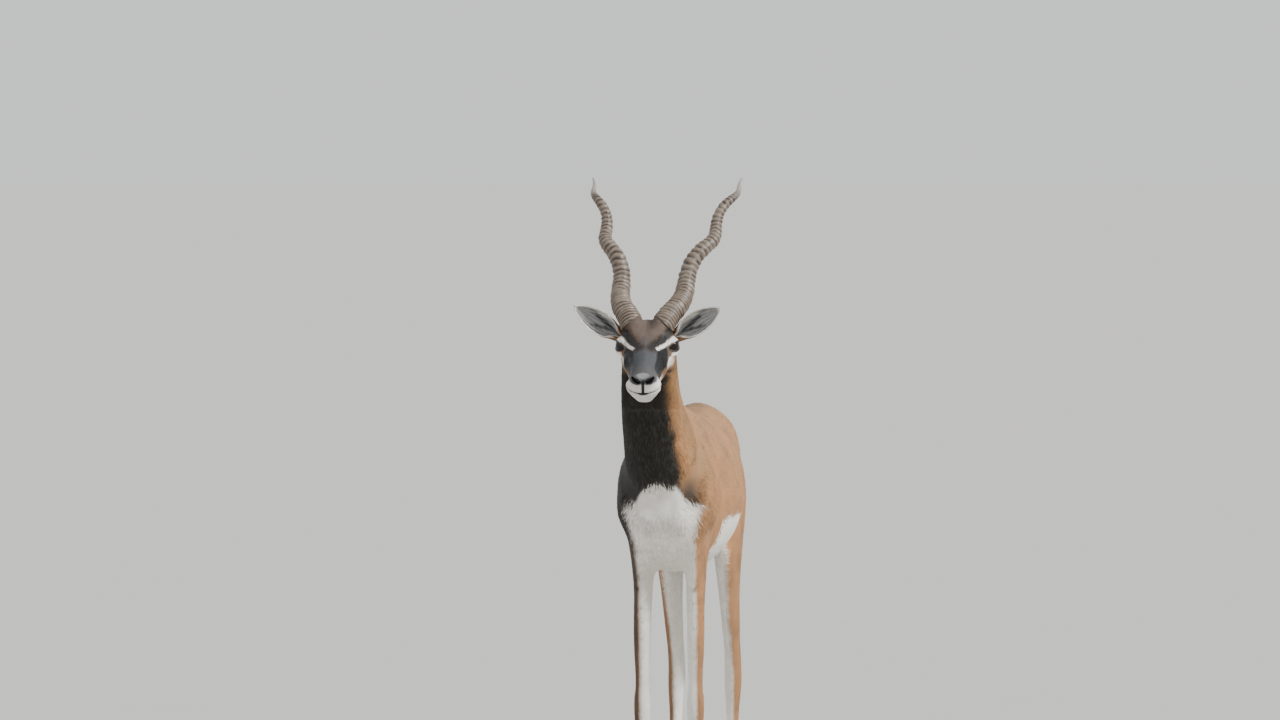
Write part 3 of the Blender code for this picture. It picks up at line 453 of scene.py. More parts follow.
def section_round(centre, tangent, radius, sides):
    """A round section across a tangent."""
    tangent = tangent.normalized()
    side = tangent.cross(Vector((0, 1, 0))).normalized()
    up = side.cross(tangent)
    angles = [2 * math.pi * i / sides for i in range(sides)]
    return [centre + (side * math.cos(a) + up * math.sin(a)) * radius for a in angles]


def round_loft(name, profile):
    """A closed body through round sections: centre, tangent, radius."""
    return loft(name, [section_round(*section, RING_SIDES) for section in profile])


def straight_loft(name, base, direction, profile):
    """A closed round body along a direction from a base: each place along it, and the radius."""
    return round_loft(name, [(base + direction * far, direction, r) for far, r in profile])


def horn_path(share, side):
    """A point of the horn's winding centre line, and its radius, at a share of the way up."""
    base = head_point(*sided(HORN_BASE, side))
    line = Vector(sided(HORN_TIP, side)) - base
    outward = Vector((side, 0, 0))
    outward = (outward - line * (outward.dot(line) / line.length_squared)).normalized()
    backward = line.normalized().cross(outward) * side
    climb = share**HORN_TIGHTENING - HORN_FIRST_BEND**HORN_TIGHTENING
    turn = 2 * math.pi * HORN_TURNS * climb
    grow = min(1.0, share / 0.10)
    straight = max(0.0, share - HORN_WOUND_SHARE) / (1 - HORN_WOUND_SHARE)
    wind = HORN_WIND * grow * (1 - HORN_WIND_FADE * share) * (1 - straight)
    point = base + line * share
    point += outward * wind * math.cos(turn) + backward * wind * math.sin(turn)
    return point, float(np.interp(share, *np.array(HORN_PROFILE).T))


def horn_start(side):
    """The horn's base point and the direction that it leaves the head in."""
    base = horn_path(0.0, side)[0]
    return base, (horn_path(0.02, side)[0] - base).normalized()


def ear_frame(side):
    """The ear's root, its direction, the way its cup faces, and its width direction."""
    root = head_point(*sided(EAR_ROOT, side))
    along = (Vector(sided(EAR_TIP, side)) - root).normalized()
    facing = Vector(sided(EAR_FACING, side))
    facing = (facing - along * facing.dot(along)).normalized()
    return root, along, facing, facing.cross(along)


def tail_direction():
    """The way the tail hangs from its root."""
    return (TAIL_TIP - TAIL_ROOT).normalized()


def leg_pieces(foot):
    """The plain bodies of one leg: the leg and its two dew claws."""
    rows, side = foot_shift(LEGS[foot], foot), foot_side(foot)
    sections = [
        ring((0, y1, z1), (0, y2, z2), side * x, width)
        for y1, z1, y2, z2, x, width in blend_rows(rows)
    ]
    _, _, back_y, back_z, x, _ = rows[FETLOCK_ROW[foot[:4]]]
    claws = [Vector((side * x + dx, back_y + dy, back_z + dz)) for dx, dy, dz in DEWCLAW_PLACES]
    return [loft("leg", sections)] + [ball("dewclaw", claw, DEWCLAW_RADII) for claw in claws]


def flesh_pieces():
    """The plain bodies that the skin is fused from, as in the solids."""
    tail = [(TAIL_ROOT + Vector(place), Vector(way), r) for place, way, r in TAIL_START]
    tail += [(TAIL_ROOT + tail_direction() * far, tail_direction(), r) for far, r in TAIL_END]
    made = [
        loft(
            "trunk",
            [
                ring((0, y, top), (0, y, low), 0.0, width, level, *TRUNK_FULL)
                for y, top, low, width, level in blend_rows(TRUNK)
            ],
        ),
        loft(
            "neck",
            [
                ring((0, y1, z1), (0, y2, z2), x, width, NECK_LEVEL, *NECK_FULL)
                for y1, z1, y2, z2, width, x in blend_rows(NECK)
            ],
        ),
        loft(
            "head",
            [
                [
                    head_point(*flat)
                    for flat in ring((0, u, top), (0, u, low), 0.0, width, level, up, down)
                ]
                for u, top, low, width, level, up, down in blend_rows(HEAD, HEAD_STEP)
            ],
        ),
        round_loft("tail_root", tail),
    ]
    for foot in LEGS:
        made += leg_pieces(foot)
    for side in SIDES:
        for place, radii, tilt in BODY_MASSES:
            axes = Matrix.Rotation(math.radians(tilt), 3, "X")
            made.append(ball("mass", Vector(sided(place, side)), radii, axes))
        for place, radii in HEAD_MASSES:
            made.append(ball("mass", head_point(*sided(place, side)), radii, head_axes()))
        made.append(straight_loft("boss", *horn_start(side), HORN_BOSS))
        root, along, facing, _ = ear_frame(side)
        centre = root + facing * (EAR_DEPTH * EAR_PROFILE[0][1])
        made.append(straight_loft("gristle", centre, along, EAR_GRISTLE))
    return made


def smooth(shape, verts, times):
    """Eases the chosen points of an edit mesh this many times."""
    for _ in range(times):
        bmesh.ops.smooth_vert(
            shape, verts=verts, factor=0.5, use_axis_x=True, use_axis_y=True, use_axis_z=True
        )


# Folds and bones under the skin on both sides: points (x, y, z), half width, depth (- is raised)
FOLDS = [
    (((0.030, -0.262, 0.842), (0.046, -0.200, 0.790), (0.056, -0.140, 0.700)), 0.012, 0.0030),
    (((0.010, -0.285, 0.815), (0.022, -0.245, 0.760), (0.030, -0.200, 0.680)), 0.008, -0.0016),
    (((0.060, -0.030, 0.770), (0.078, -0.080, 0.690), (0.066, -0.125, 0.620)), 0.018, -0.0030),
    (((0.060, 0.055, 0.730), (0.084, 0.058, 0.650), (0.072, 0.050, 0.560)), 0.026, 0.0030),
    (((0.076, -0.045, 0.560), (0.076, 0.010, 0.540), (0.068, 0.050, 0.530)), 0.016, 0.0025),
    (((0.088, 0.330, 0.610), (0.080, 0.345, 0.560), (0.062, 0.360, 0.530)), 0.013, 0.0040),
    (((0.070, 0.400, 0.765), (0.082, 0.420, 0.720), (0.086, 0.430, 0.660)), 0.012, -0.0022),
    (((0.070, 0.530, 0.690), (0.074, 0.535, 0.620), (0.070, 0.525, 0.550)), 0.022, 0.0025),
    (((0.030, -0.100, 0.660), (0.020, -0.150, 0.610), (0.016, -0.160, 0.570)), 0.010, 0.0022),
]

# Folds of the face in the head's own axes: points (x, u, v), half width, depth (- is raised)
FACE_FOLDS = [
    (((0.050, -0.022, 0.020), (0.050, -0.004, 0.0235), (0.042, 0.018, 0.0215)), 0.0035, -0.0016),
    (((0.052, -0.016, 0.013), (0.0535, -0.002, 0.0165), (0.047, 0.014, 0.0155)), 0.0016, 0.0010),
    (((0.050, -0.010, -0.010), (0.048, 0.008, -0.012), (0.042, 0.022, -0.009)), 0.0020, 0.0010),
    (((0.0400, 0.030, 0.000), (0.0385, 0.037, -0.008), (0.0360, 0.047, -0.016)), 0.0022, 0.0026),
    (((0.0430, 0.026, -0.006), (0.0415, 0.034, -0.014), (0.0385, 0.046, -0.022)), 0.0028, -0.0012),
    (((0.0400, 0.000, -0.030), (0.0360, 0.030, -0.034), (0.0310, 0.055, -0.030)), 0.0060, -0.0018),
    (((0.040, -0.040, -0.045), (0.036, -0.005, -0.052), (0.026, 0.045, -0.047)), 0.0050, -0.0014),
    (((0.0360, -0.020, -0.062), (0.0240, 0.020, -0.060), (0.0140, 0.070, -0.050)), 0.0060, 0.0022),
    (((0.0270, 0.070, 0.008), (0.0262, 0.095, 0.004), (0.0262, 0.112, 0.004)), 0.0050, 0.0012),
    (((0.0235, 0.112, 0.010), (0.0225, 0.127, 0.0115), (0.0165, 0.137, 0.0140)), 0.0028, -0.0014),
    (((0.0000, 0.020, 0.036), (0.0000, 0.060, 0.032), (0.0000, 0.105, 0.027)), 0.0050, -0.0008),
    (((0.0000, -0.035, 0.040), (0.0000, -0.010, 0.038), (0.0000, 0.015, 0.036)), 0.0060, 0.0012),
]

# Nostril: a comma of points (x, u, v) from its inner end round to its outer, upper tail
NOSTRIL_LINE = ((0.0080, 0.1405, 0.0085), (0.0125, 0.1395, 0.0105), (0.0190, 0.1350, 0.0150))
NOSTRIL_HALF = (0.0024, 0.0031, 0.0012)
NOSTRIL_DEPTH = 0.0060
NOSTRIL_INWARD = (-0.42, -0.84, -0.34)
PHILTRUM = (0.0080, -0.0125)

# The skin's depth inside the solids, which leaves room for the coat
TRUNK_COAT, NECK_COAT, FACE_COAT, LEG_COAT = 0.0030, 0.0020, 0.0007, 0.0009

# Rolls and grooves beside the nostril (in shares of its half width) and the mouth's line:
# middle, half width, depth (- is raised)
NOSTRIL_ROLL = (1.7, 0.5, -0.0012)
LIP_ROLLS = ((0.0045, 0.0030, -0.0010), (-0.0050, 0.0035, -0.0008))
PHILTRUM_DEPTH = 0.0014
MOUTH_DEPTH = 0.0030

# Where the face's net is split finer: beyond these u and v, and round each orbit
FINE_HEAD = (-0.075, -0.075)
FINE_MUZZLE = (0.076, -0.034)
ORBIT, ORBIT_REACH = (0.045, 0.016, -0.002), 0.036

# Eye opening: half length and heights above and below its middle
OPENING = (0.0118, 0.0072, 0.0056)
LID_TURNS = 72
LID_FARTHEST = math.radians(70)
LID_REACH = 0.011
# Lid section: degrees out from the rim, height over the ball, share of the way to the skin
LID_SECTION = [
    (-16, -0.0030, 0.0),
    (-5, -0.0010, 0.0),
    (-0.5, 0.0003, 0.0),
    (0.4, 0.0011, 0.0),
    (2.5, 0.0017, 0.0),
    (6, 0.0019, 0.0),
    (10, 0.0017, 0.10),
    (14, 0.0011, 0.30),
    (18, 0.0017, 0.60),
    (23, 0.0018, 0.85),
    (29, 0.0012, 1.0),
    (36, -0.0002, 1.0),
    (42, -0.0030, 1.0),
    (34, -0.0050, 0.5),
    (12, -0.0048, 0.0),
]


def line_distance(points, line):
    """Each point's distance to a bent line, and how far along it the nearest place is, 0 to 1."""
    line = np.array(line, float)
    best = np.full(len(points), 1e9)
    along = np.zeros(len(points))
    for i, (start, end) in enumerate(zip(line, line[1:])):
        step = end - start
        t = np.clip((points - start) @ step / (step @ step), 0, 1)
        far = np.linalg.norm(points - start - t[:, None] * step, axis=1)
        nearer = far < best
        best[nearer] = far[nearer]
        along[nearer] = (i + t[nearer]) / (len(line) - 1)
    return best, along


def ramp(values, start, end):
    """0 before start and 1 after end, smooth between them; start may be above end."""
    t = np.clip((values - start) / (end - start), 0, 1)
    return t * t * (3 - 2 * t)


def swell(values, middle, half, depth):
    """A soft roll or groove of this depth where the values are near its middle."""
    return depth * np.exp(-(((values - middle) / half) ** 2))


def mirrored(points):
    """The points with their sideways place made positive, for marks made on both sides."""
    return np.column_stack([np.abs(points[:, 0]), points[:, 1:]])


def nostril_share(face):
    """How near each place is to the nostril, 1 at its edge, seen along the way it runs in."""
    inward = np.array(NOSTRIL_INWARD) / np.linalg.norm(NOSTRIL_INWARD)
    flat = face - (face @ inward)[:, None] * inward
    line = np.array(NOSTRIL_LINE)
    near, along = line_distance(flat, line - (line @ inward)[:, None] * inward)
    share = near / np.interp(along, (0, 0.5, 1), NOSTRIL_HALF)
    return np.where(face[:, 1] > 0.120, share, 9.0)


def philtrum(face, outer, inner):
    """The share of the groove from the nose down to the mouth, 0 past its outer half width."""
    x, u, v = face.T
    top, low = PHILTRUM
    level = ramp(v, low - 0.002, low) * ramp(v, top + 0.002, top)
    return ramp(x, outer, inner) * level * ramp(u, 0.124, 0.128)


def arrays_of(mesh):
    """A mesh's points and their normals as rows."""
    count = len(mesh.vertices)
    points, normals = np.empty(count * 3, np.float32), np.empty(count * 3, np.float32)
    mesh.vertices.foreach_get("co", points)
    mesh.vertices.foreach_get("normal", normals)
    return points.reshape(-1, 3).astype(float), normals.reshape(-1, 3).astype(float)


def eye_axes(side):
    """The eye's own axes: along the lids, up, and the way it looks."""
    looks = Vector(sided(EYE_LOOK, side)).normalized()
    along = Vector((0.0, math.cos(LID_SLANT), -math.sin(LID_SLANT)))
    along = (along - looks * along.dot(looks)).normalized()
    up = looks.cross(along) * side
    columns = [head_axes() @ v for v in (along, up, looks)]
    return Matrix(columns).transposed()


def eye_centre(side):
    """The middle of the eyeball on this side."""
    return head_point(*sided((EYE_SPREAD, EYE_FORWARD, EYE_RISE), side))


def rim_angle(turn):
    """How far the edge of the lids lies from the middle of the gaze, at a turn round it."""
    half, above, below = OPENING
    height = np.where(np.sin(turn) > 0, above, below)
    reach = 1 / np.sqrt((np.cos(turn) / half) ** 2 + (np.sin(turn) / height) ** 2)
    pointed = 1 + 0.10 * np.abs(np.cos(turn)) ** 8
    return np.arcsin(np.clip(reach * pointed / EYE_RADIUS, 0, 0.95))


def rim_spread(turn):
    """How far the lids can spread past their edge at a turn, 1 where they have full room."""
    return np.minimum(1.0, (LID_FARTHEST - rim_angle(turn)) / math.radians(42))


def round_eye(points, side):
    """Points in the eye's own axes, their distance from its centre, and past the lids' edge."""
    local = (points - np.array(eye_centre(side))) @ np.array(eye_axes(side))
    far = np.linalg.norm(local, axis=1)
    away = np.arccos(np.clip(local[:, 2] / np.maximum(far, 1e-9), -1, 1))
    turn = np.arctan2(local[:, 1], local[:, 0])
    return local, far, (away - rim_angle(turn)) / rim_spread(turn)


def coat_depth(points):
    """How far the skin lies inside the solids: the depth of the coat at each place."""
    head = to_head(points)
    face = ramp(head[:, 1], -0.075, -0.020) * ramp(points[:, 2], 0.74, 0.80)
    legs = ramp(points[:, 2], 0.46, 0.34)
    depth = TRUNK_COAT - (TRUNK_COAT - NECK_COAT) * ramp(points[:, 2], 0.70, 0.76)
    return depth * (1 - face) * (1 - legs) + FACE_COAT * face + LEG_COAT * legs * (1 - face)


def sculpt_eyes(points):
    """Clears the skin away behind each ball, where the lids cover it."""
    for side in SIDES:
        local, far, past = round_eye(points, side)
        open_share = ramp(past, math.radians(22), math.radians(10))
        near = (far < 0.034) & (open_share > 0)
        wanted = np.minimum(far, EYE_RADIUS - 0.0035)
        scale = 1 + (wanted / np.maximum(far, 1e-9) - 1) * open_share
        moved = (local * scale[:, None]) @ np.array(eye_axes(side)).T
        moved += np.array(eye_centre(side))
        points[near] = moved[near]


def mouth_gap(head):
    """The height of each place of the head over the line of the mouth."""
    line = MOUTH_LEVEL + 0.005 + 0.05 * (head[:, 1] - MOUTH_CORNER)
    line = line + 0.0040 * np.clip(np.abs(head[:, 0]) / 0.024, 0, 1) ** 2
    return head[:, 2] - line


def sculpted(points, normals):
    """The skin's points moved for its folds, nostrils, mouth and the room of the eyes."""
    body, head = mirrored(points), to_head(points)
    face = mirrored(head)
    push = coat_depth(points)
    for places, folds in ((body, FOLDS), (face, FACE_FOLDS)):
        for line, width, depth in folds:
            push += swell(line_distance(places, line)[0], 0, width, depth)
    near = nostril_share(face)
    pit = NOSTRIL_DEPTH * ramp(near, 1.15, 0.45)
    push += swell(near, *NOSTRIL_ROLL)
    push += PHILTRUM_DEPTH * philtrum(face, 0.0022, 0.0004)
    gap = mouth_gap(head)
    muzzle = ramp(head[:, 1], MOUTH_CORNER - 0.004, MOUTH_CORNER + 0.004)
    push += MOUTH_DEPTH * ramp(np.abs(gap), 0.0022, 0.0003) * muzzle
    for roll in LIP_ROLLS:
        push += swell(gap, *roll) * muzzle
    points = points - normals * push[:, None]
    inward = np.sign(head[:, :1]) * (1, 0, 0) + (0, 1, 1)
    points += (inward * NOSTRIL_INWARD * pit[:, None]) @ np.array(head_axes()).T
    sculpt_eyes(points)
    return points


def finer(shape, chosen):
    """Splits the chosen faces of an edit mesh into four."""
    edges = list({edge for face in chosen for edge in face.edges})
    bmesh.ops.subdivide_edges(shape, edges=edges, cuts=1, use_grid_fill=True, smooth=0.0)
    bmesh.ops.triangulate(shape, faces=[f for f in shape.faces if len(f.verts) > 4])


def face_centres(shape):
    """The middles of an edit mesh's faces, as rows."""
    return np.array([f.calc_center_median() for f in shape.faces])


def chosen_faces(shape, mask):
    """The faces of an edit mesh that the mask picks."""
    shape.faces.ensure_lookup_table()
    return [shape.faces[i] for i in np.flatnonzero(mask)]


def fused_flesh():
    """One smooth closed body of all the flesh, finest on the face."""
    skin = joined("skin", flesh_pieces())
    remesh = skin.modifiers.new("Remesh", "REMESH")
    remesh.mode = "VOXEL"
    remesh.voxel_size = VOXEL
    applied(skin)
    shape = bmesh.new()
    shape.from_mesh(skin.data)
    smooth(shape, shape.verts, SMOOTH_ALL)
    for step in range(TRUNK_STEPS):
        low, front = TRUNK_LOW + TRUNK_STEP * step, TRUNK_FRONT + TRUNK_STEP * step
        trunk = [v for v in shape.verts if v.co.z > low and v.co.y > front]
        smooth(shape, trunk, SMOOTH_TRUNK // TRUNK_STEPS)
    head = to_head(face_centres(shape))
    finer(shape, chosen_faces(shape, (head[:, 1:] > FINE_HEAD).all(axis=1)))
    smooth(shape, [v for v in shape.verts if to_head(np.array([v.co]))[0, 1] > -0.07], 1)
    head = mirrored(to_head(face_centres(shape)))
    muzzle = (head[:, 1:] > FINE_MUZZLE).all(axis=1)
    orbit = np.linalg.norm(head - ORBIT, axis=1) < ORBIT_REACH
    finer(shape, chosen_faces(shape, muzzle | orbit))
    shape.to_mesh(skin.data)
    shape.free()
    return skin


def lids(side, tree):
    """The lids of one eye: a closed rim round an almond opening that runs out under the skin."""
    centre, axes = eye_centre(side), eye_axes(side)
    turns = [2 * math.pi * i / LID_TURNS for i in range(LID_TURNS)]
    rings = []
    for degrees, height, share in LID_SECTION:
        section = []
        for turn in turns:
            spread = float(rim_spread(turn)) if degrees > 0 else 1.0
            away = float(rim_angle(turn)) + math.radians(degrees) * spread
            around = Vector((math.cos(turn), math.sin(turn), 0)) * math.sin(away)
            ray = axes @ (around + Vector((0, 0, math.cos(away))))
            hit = (tree.ray_cast(centre, ray)[3] or EYE_RADIUS + 0.004) - EYE_RADIUS
            far = EYE_RADIUS + min(max(hit, 0.0), LID_REACH) * share
            section.append(centre + ray * (far + height))
        rings.append(section)
    points = [p for section in rings for p in section]
    return mesh_object("lids", points, ring_faces(len(rings), LID_TURNS, closed=True))

EAR_POINTS = 22
EAR_RINGS = 46
EAR_SUNK = -0.14
EAR_RIB, EAR_RIBS = 0.0006, 3.5
TAIL_SIDES = 32
TAIL_RINGS = 30
TAIL_SUNK, TAIL_SPAN = -0.10, 1.04
TAIL_COAT = (0.004, 0.003)
FLESH_NODES = ["torso", "rump", "neck", "head", "tail", "ear_left", "ear_right"]

BODY, LIDS, EAR, TAIL = range(4)


def ear_section(share, side):
    """The ear's section: a stout round at the root that opens into a thin cupped strip."""
    root, along, facing, across = ear_frame(side)
    profile = np.array(EAR_PROFILE)
    width = np.interp(share, profile[:, 0], profile[:, 1])
    bend = math.radians(np.interp(share, profile[:, 0], profile[:, 2]))
    radius = width / math.sin(min(bend, math.pi / 2))
    hollow = min(1.0, max(0.0, share / EAR_OPEN_SHARE))
    thick = EAR_THICKNESS * (1 - 0.4 * share)
    centre = root + along * (EAR_LENGTH * share) + facing * (EAR_DEPTH * radius)
    outer, inner = [], []
    for j in range(EAR_POINTS):
        turn = 2 * j / (EAR_POINTS - 1) - 1
        away = across * math.sin(bend * turn) - facing * math.cos(bend * turn)
        rib = EAR_RIB * hollow * math.cos(turn * math.pi * EAR_RIBS)
        edge = 0.35 + 0.65 * math.sqrt(max(0.0, 1 - abs(turn) ** 6))
        outer.append(centre + away * (radius - 0.0004))
        inner.append(centre + away * (radius - thick * edge + rib) * (0.12 + 0.88 * hollow))
    return outer + inner[::-1]


def ear_shell(side):
    """One ear, with each point's share of the length, turn across it (up is 1) and inside mark."""
    shares = [EAR_SUNK + (1 - EAR_SUNK) * i / (EAR_RINGS - 1) for i in range(EAR_RINGS)]
    shell = loft("ear", [ear_section(share, side) for share in shares])
    turns = np.linspace(-1, 1, EAR_POINTS) * side
    rows = [
        (share, turn, inside)
        for share in shares
        for inside, line in ((0, turns), (1, turns[::-1]))
        for turn in line
    ]
    return shell, np.array(rows)


def tail_shell():
    """The tail's own flesh, with each point's share of the length and turn to the back."""
    profile = np.array(TAIL_PROFILE)
    direction = tail_direction()
    back = Vector((1, 0, 0)).cross(direction)
    rings, rows = [], []
    for i in range(TAIL_RINGS):
        share = TAIL_SUNK + TAIL_SPAN * i / (TAIL_RINGS - 1)
        wide, deep = (np.interp(share, profile[:, 0], profile[:, k]) for k in (1, 2))
        hang = TAIL_CURVE * math.sin(math.pi * max(0.0, share))
        middle = TAIL_ROOT + (TAIL_TIP - TAIL_ROOT) * share + back * hang
        angles = [2 * math.pi * k / TAIL_SIDES for k in range(TAIL_SIDES)]
        rings.append(
            [
                middle
                + Vector(((wide - TAIL_COAT[0]) * math.cos(a), 0, 0))
                + back * ((deep - TAIL_COAT[1]) * math.sin(a))
                for a in angles
            ]
        )
        rows += [(share, math.sin(a), 0) for a in angles]
    return loft("tail_flesh", rings), np.array(rows)


# Edges of the coat's markings, as places and the edge's value at each, in metres. They are:
# the dark front of the neck (heights, degrees round it), the white of the flank (y, height) and
# of the chest (distance from the middle, height), and the seat (heights, first y and half width)
NECK_EDGE = ((0.64, 0.68, 0.79, 0.84), (38, 38, 24, 42))
FLANK_EDGE = ((-0.16, -0.05, 0.10, 0.25, 0.34), (0.575, 0.574, 0.580, 0.584, 0.592))
CHEST_EDGE = ((0.0, 0.028, 0.042, 0.075), (0.638, 0.635, 0.612, 0.599))
SEAT_START = ((0.58, 0.66), (0.500, 0.555))
SEAT_HALF = ((0.60, 0.66, 0.695, 0.712), (0.048, 0.044, 0.034, 0.012))
# Heights where the legs' own markings start and where they are whole
LEG_TOPS = {"fore": (0.618, 0.596), "hind": (0.585, 0.545)}
# Heights on a leg, how dark its outer side is there; the right legs' extra dark is painted shade
LEG_DARK_AND_PAINTED_SHADE = {
    "left": ((0.0, 0.30, 0.58), (0.22, 0.18, 0.0)),
    "right": ((0.0, 0.30, 0.58), (0.50, 0.48, 0.0)),
    "fore_right": ((0.0, 0.30, 0.50), (0.55, 0.72, 0.90)),
}

# Lines of the face's markings in the head's own axes, mirrored on the other side
BROW_BAND = ((0.0530, -0.018, 0.0150), (0.0470, 0.000, 0.0200), (0.0380, 0.021, 0.0222))
BROW_BAND += ((0.0285, 0.040, 0.0240), (0.0215, 0.0500, 0.0258))
BROW_WIDTH = ((0, 0.3, 0.7, 1), (0.0050, 0.0050, 0.0042, 0.0036))
DARK_BROW = ((0.0420, -0.020, 0.0290), (0.0330, 0.010, 0.0290), (0.0230, 0.034, 0.0290))
DARK_BROW += ((0.0120, 0.052, 0.0300),)
GLAND_BAND = ((0.0310, 0.047, 0.0165), (0.0300, 0.070, 0.0090), (0.0270, 0.092, 0.0040))
CHEEK_STRIPE = ((0.0500, -0.014, -0.008), (0.0445, 0.022, -0.008), (0.0375, 0.050, -0.009))

# Round spots of the markings: middle and radii (radii of 1 keep the distance in metres)
CHEST_CORNER = ((0.046, -0.125, 0.614), (0.028, 0.055, 0.044))
CHEEK_PALE = ((0.0440, 0.008, -0.022), (0.020, 0.026, 0.018))
EAR_TUFT = ((0.0500, -0.036, 0.026), (1.0, 1.0, 1.0))
NOSE_PATCH = ((0.0, 0.1315, 0.0175), (0.0130, 0.0070, 0.010))

# Dark veins inside the ear: shares of its length, and the vein's place across it there
EAR_VEIN = ((0, 0.25, 0.6), (0.02, 0.12, 0.38))
EAR_BRANCH = ((0.2, 0.55), (0.02, -0.38))
MARKS = ("dark", "warm", "grey", "pale", "black", "bare")

# Four crossing waves that make a smooth irregular swell: their directions and where each starts
WAVES = np.array(((1.0, 0.7, 0.4), (-0.6, 1.1, 0.8), (0.5, -0.9, 1.3), (1.4, 0.3, -0.8)))
WAVE_STARTS = np.array((0.0, 1.7, 3.9, 5.1))

# Every ramp and zone below runs between two places in metres: along x, y and z of the animal,
# along x, u and v of the head, or in shares of an ear's or the tail's length and width. A number
# before it is the share of the colour there.


def wobble(points, size, amount):
    """A smooth irregular offset of about this amount, its swells about this size."""
    phases = points @ WAVES.T * (2 * math.pi / size) + WAVE_STARTS
    return amount * np.sin(phases).sum(axis=1) / 2


def zone(*limits):
    """How much each place lies in a zone: the product of ramps, each of values, start and end."""
    return math.prod(ramp(*limit) for limit in limits)


def spot(points, middle, radii):
    """Each place's distance from the middle of a round spot, 1 at its edge."""
    return np.linalg.norm((points - middle) / radii, axis=1)


def more(marks, name, amount):
    """Raises one colour's share to at least this amount."""
    marks[name] = np.maximum(marks[name], amount)


def neck_turn(points):
    """The angle round the neck in degrees: 0 at the front, 90 at the left, -90 at the right."""
    rows = np.array(sorted(NECK, key=lambda row: row[3]))
    front = np.interp(points[:, 2], rows[:, 3], rows[:, 2])
    back = np.interp(points[:, 2], rows[:, 1], rows[:, 0])
    half = np.interp(points[:, 2], rows[:, 3], rows[:, 4])
    ahead = 1 - 2 * (points[:, 1] - front) / np.maximum(back - front, 0.02)
    return np.degrees(np.arctan2(points[:, 0] / half, ahead))


def leg_section(z, foot):
    """A leg's middle y, half depth, distance from the middle plane and half width at a height."""
    rows = np.array(foot_shift(LEGS[foot], foot))[::-1]
    front, back = rows[:, 0], rows[:, 2]
    wanted = ((front + back) / 2, (back - front) / 2, rows[:, 4], rows[:, 5])
    return [np.interp(z, (rows[:, 1] + rows[:, 3]) / 2, values) for values in wanted]


def dark_and_shade_of_body(points, blur, marks):
    """Dark neck front, chest corner, dusky back; right neck and shoulder partly painted shade."""
    x, y, z = points.T
    turn = neck_turn(points) + wobble(points, 0.06, 4.0)
    edge = np.interp(z, *NECK_EDGE)
    # Dark round the right of the neck, brown on the left: partly real coat, partly painted shade
    front = zone((turn, edge + 15, edge - 11), (turn, -150, -120))
    more(marks, "dark", front * zone((y, -0.070, -0.105), (z, 0.585, 0.610)))
    # Right shoulder dark only: partly real coat, partly painted shade away from the key light
    fade = ramp(y + 0.5 * (z - 0.65) + blur * 3, 0.130, -0.090) ** 1.5
    shoulder = ramp(-x, 0.015, 0.045) * fade * ramp(z, 0.44, 0.56) * ramp(z, 0.85, 0.79)
    more(marks, "dark", shoulder)
    more(marks, "dark", 0.92 * ramp(spot(points, *CHEST_CORNER), 1.3, 0.25))
    more(marks, "dark", 0.22 * zone((np.abs(x), 0.030, 0.010), (z, 0.74, 0.765)))


def white_of_body(points, blur):
    """How white each place of the trunk is: belly, chest, seat and groin."""
    side, (_, y, z) = np.abs(points[:, 0]), points.T
    flank, level = np.interp(y, *FLANK_EDGE), np.interp(side, *CHEST_EDGE)
    belly = zone((z + blur, flank + 0.004, flank - 0.004), (y, 0.365, 0.335))
    chest = zone((z + blur, level + 0.005, level - 0.005), (y, -0.055, -0.085))
    start, half = np.interp(z, *SEAT_START), np.interp(z, *SEAT_HALF) + blur
    seat = zone((y, start, start + 0.020), (side, half + 0.005, half - 0.005))
    seat *= zone((z, 0.57, 0.59), (z, 0.706, 0.698))
    groin = zone((side, 0.052, 0.040), (z, 0.625, 0.600), (y, 0.28, 0.32))
    return np.maximum.reduce([belly, chest, seat, groin])


def body_marks(points, marks):
    """Neck and trunk: a dark front of the neck, brown sides, white chest, belly and inner legs."""
    x, y, z = points.T
    blur = wobble(points, 0.07, 0.0025)
    dark_and_shade_of_body(points, blur, marks)
    white = white_of_body(points, blur)
    for foot in LEGS:
        middle, half_deep, centre, half = leg_section(z, foot)
        across = (x * foot_side(foot) - centre) / half
        past = np.abs(y - middle) - half_deep
        here = ramp(past, 0.016, 0.012) * (np.abs(across) < 1.7) * ramp(z, *LEG_TOPS[foot[:4]])
        inner = ramp(across + blur * 14, 0.42, -0.05)
        white = white * (1 - here) + here * inner
        # The left legs' dark is their own darker brown; the right legs' extra dark is painted shade
        shade = np.interp(z, *LEG_DARK_AND_PAINTED_SHADE.get(foot, LEG_DARK_AND_PAINTED_SHADE[foot[5:]]))
        if foot == "fore_right":
            shade = shade * ramp(y, 0.10, 0.01)
        more(marks, "dark", here * (1 - inner) * shade)
        more(marks, "dark", 0.45 * (ramp(z, 0.12, 0.05) * here * (1 - inner)))
    marks["pale"] = white
    marks["warm"] = 0.45 + 0.55 * ramp(z, 0.76, 0.62) * ramp(y, -0.14, 0.02)
    marks["warm"] += 0.25 * wobble(points, 0.16, 1.0)
    streaks = wobble(points * (1.0, 0.35, 0.8), 0.030, 0.5) + wobble(points, 0.11, 0.7)
    marks["dark"] += 0.20 * np.clip(streaks, 0, 1) * (1 - marks["dark"])


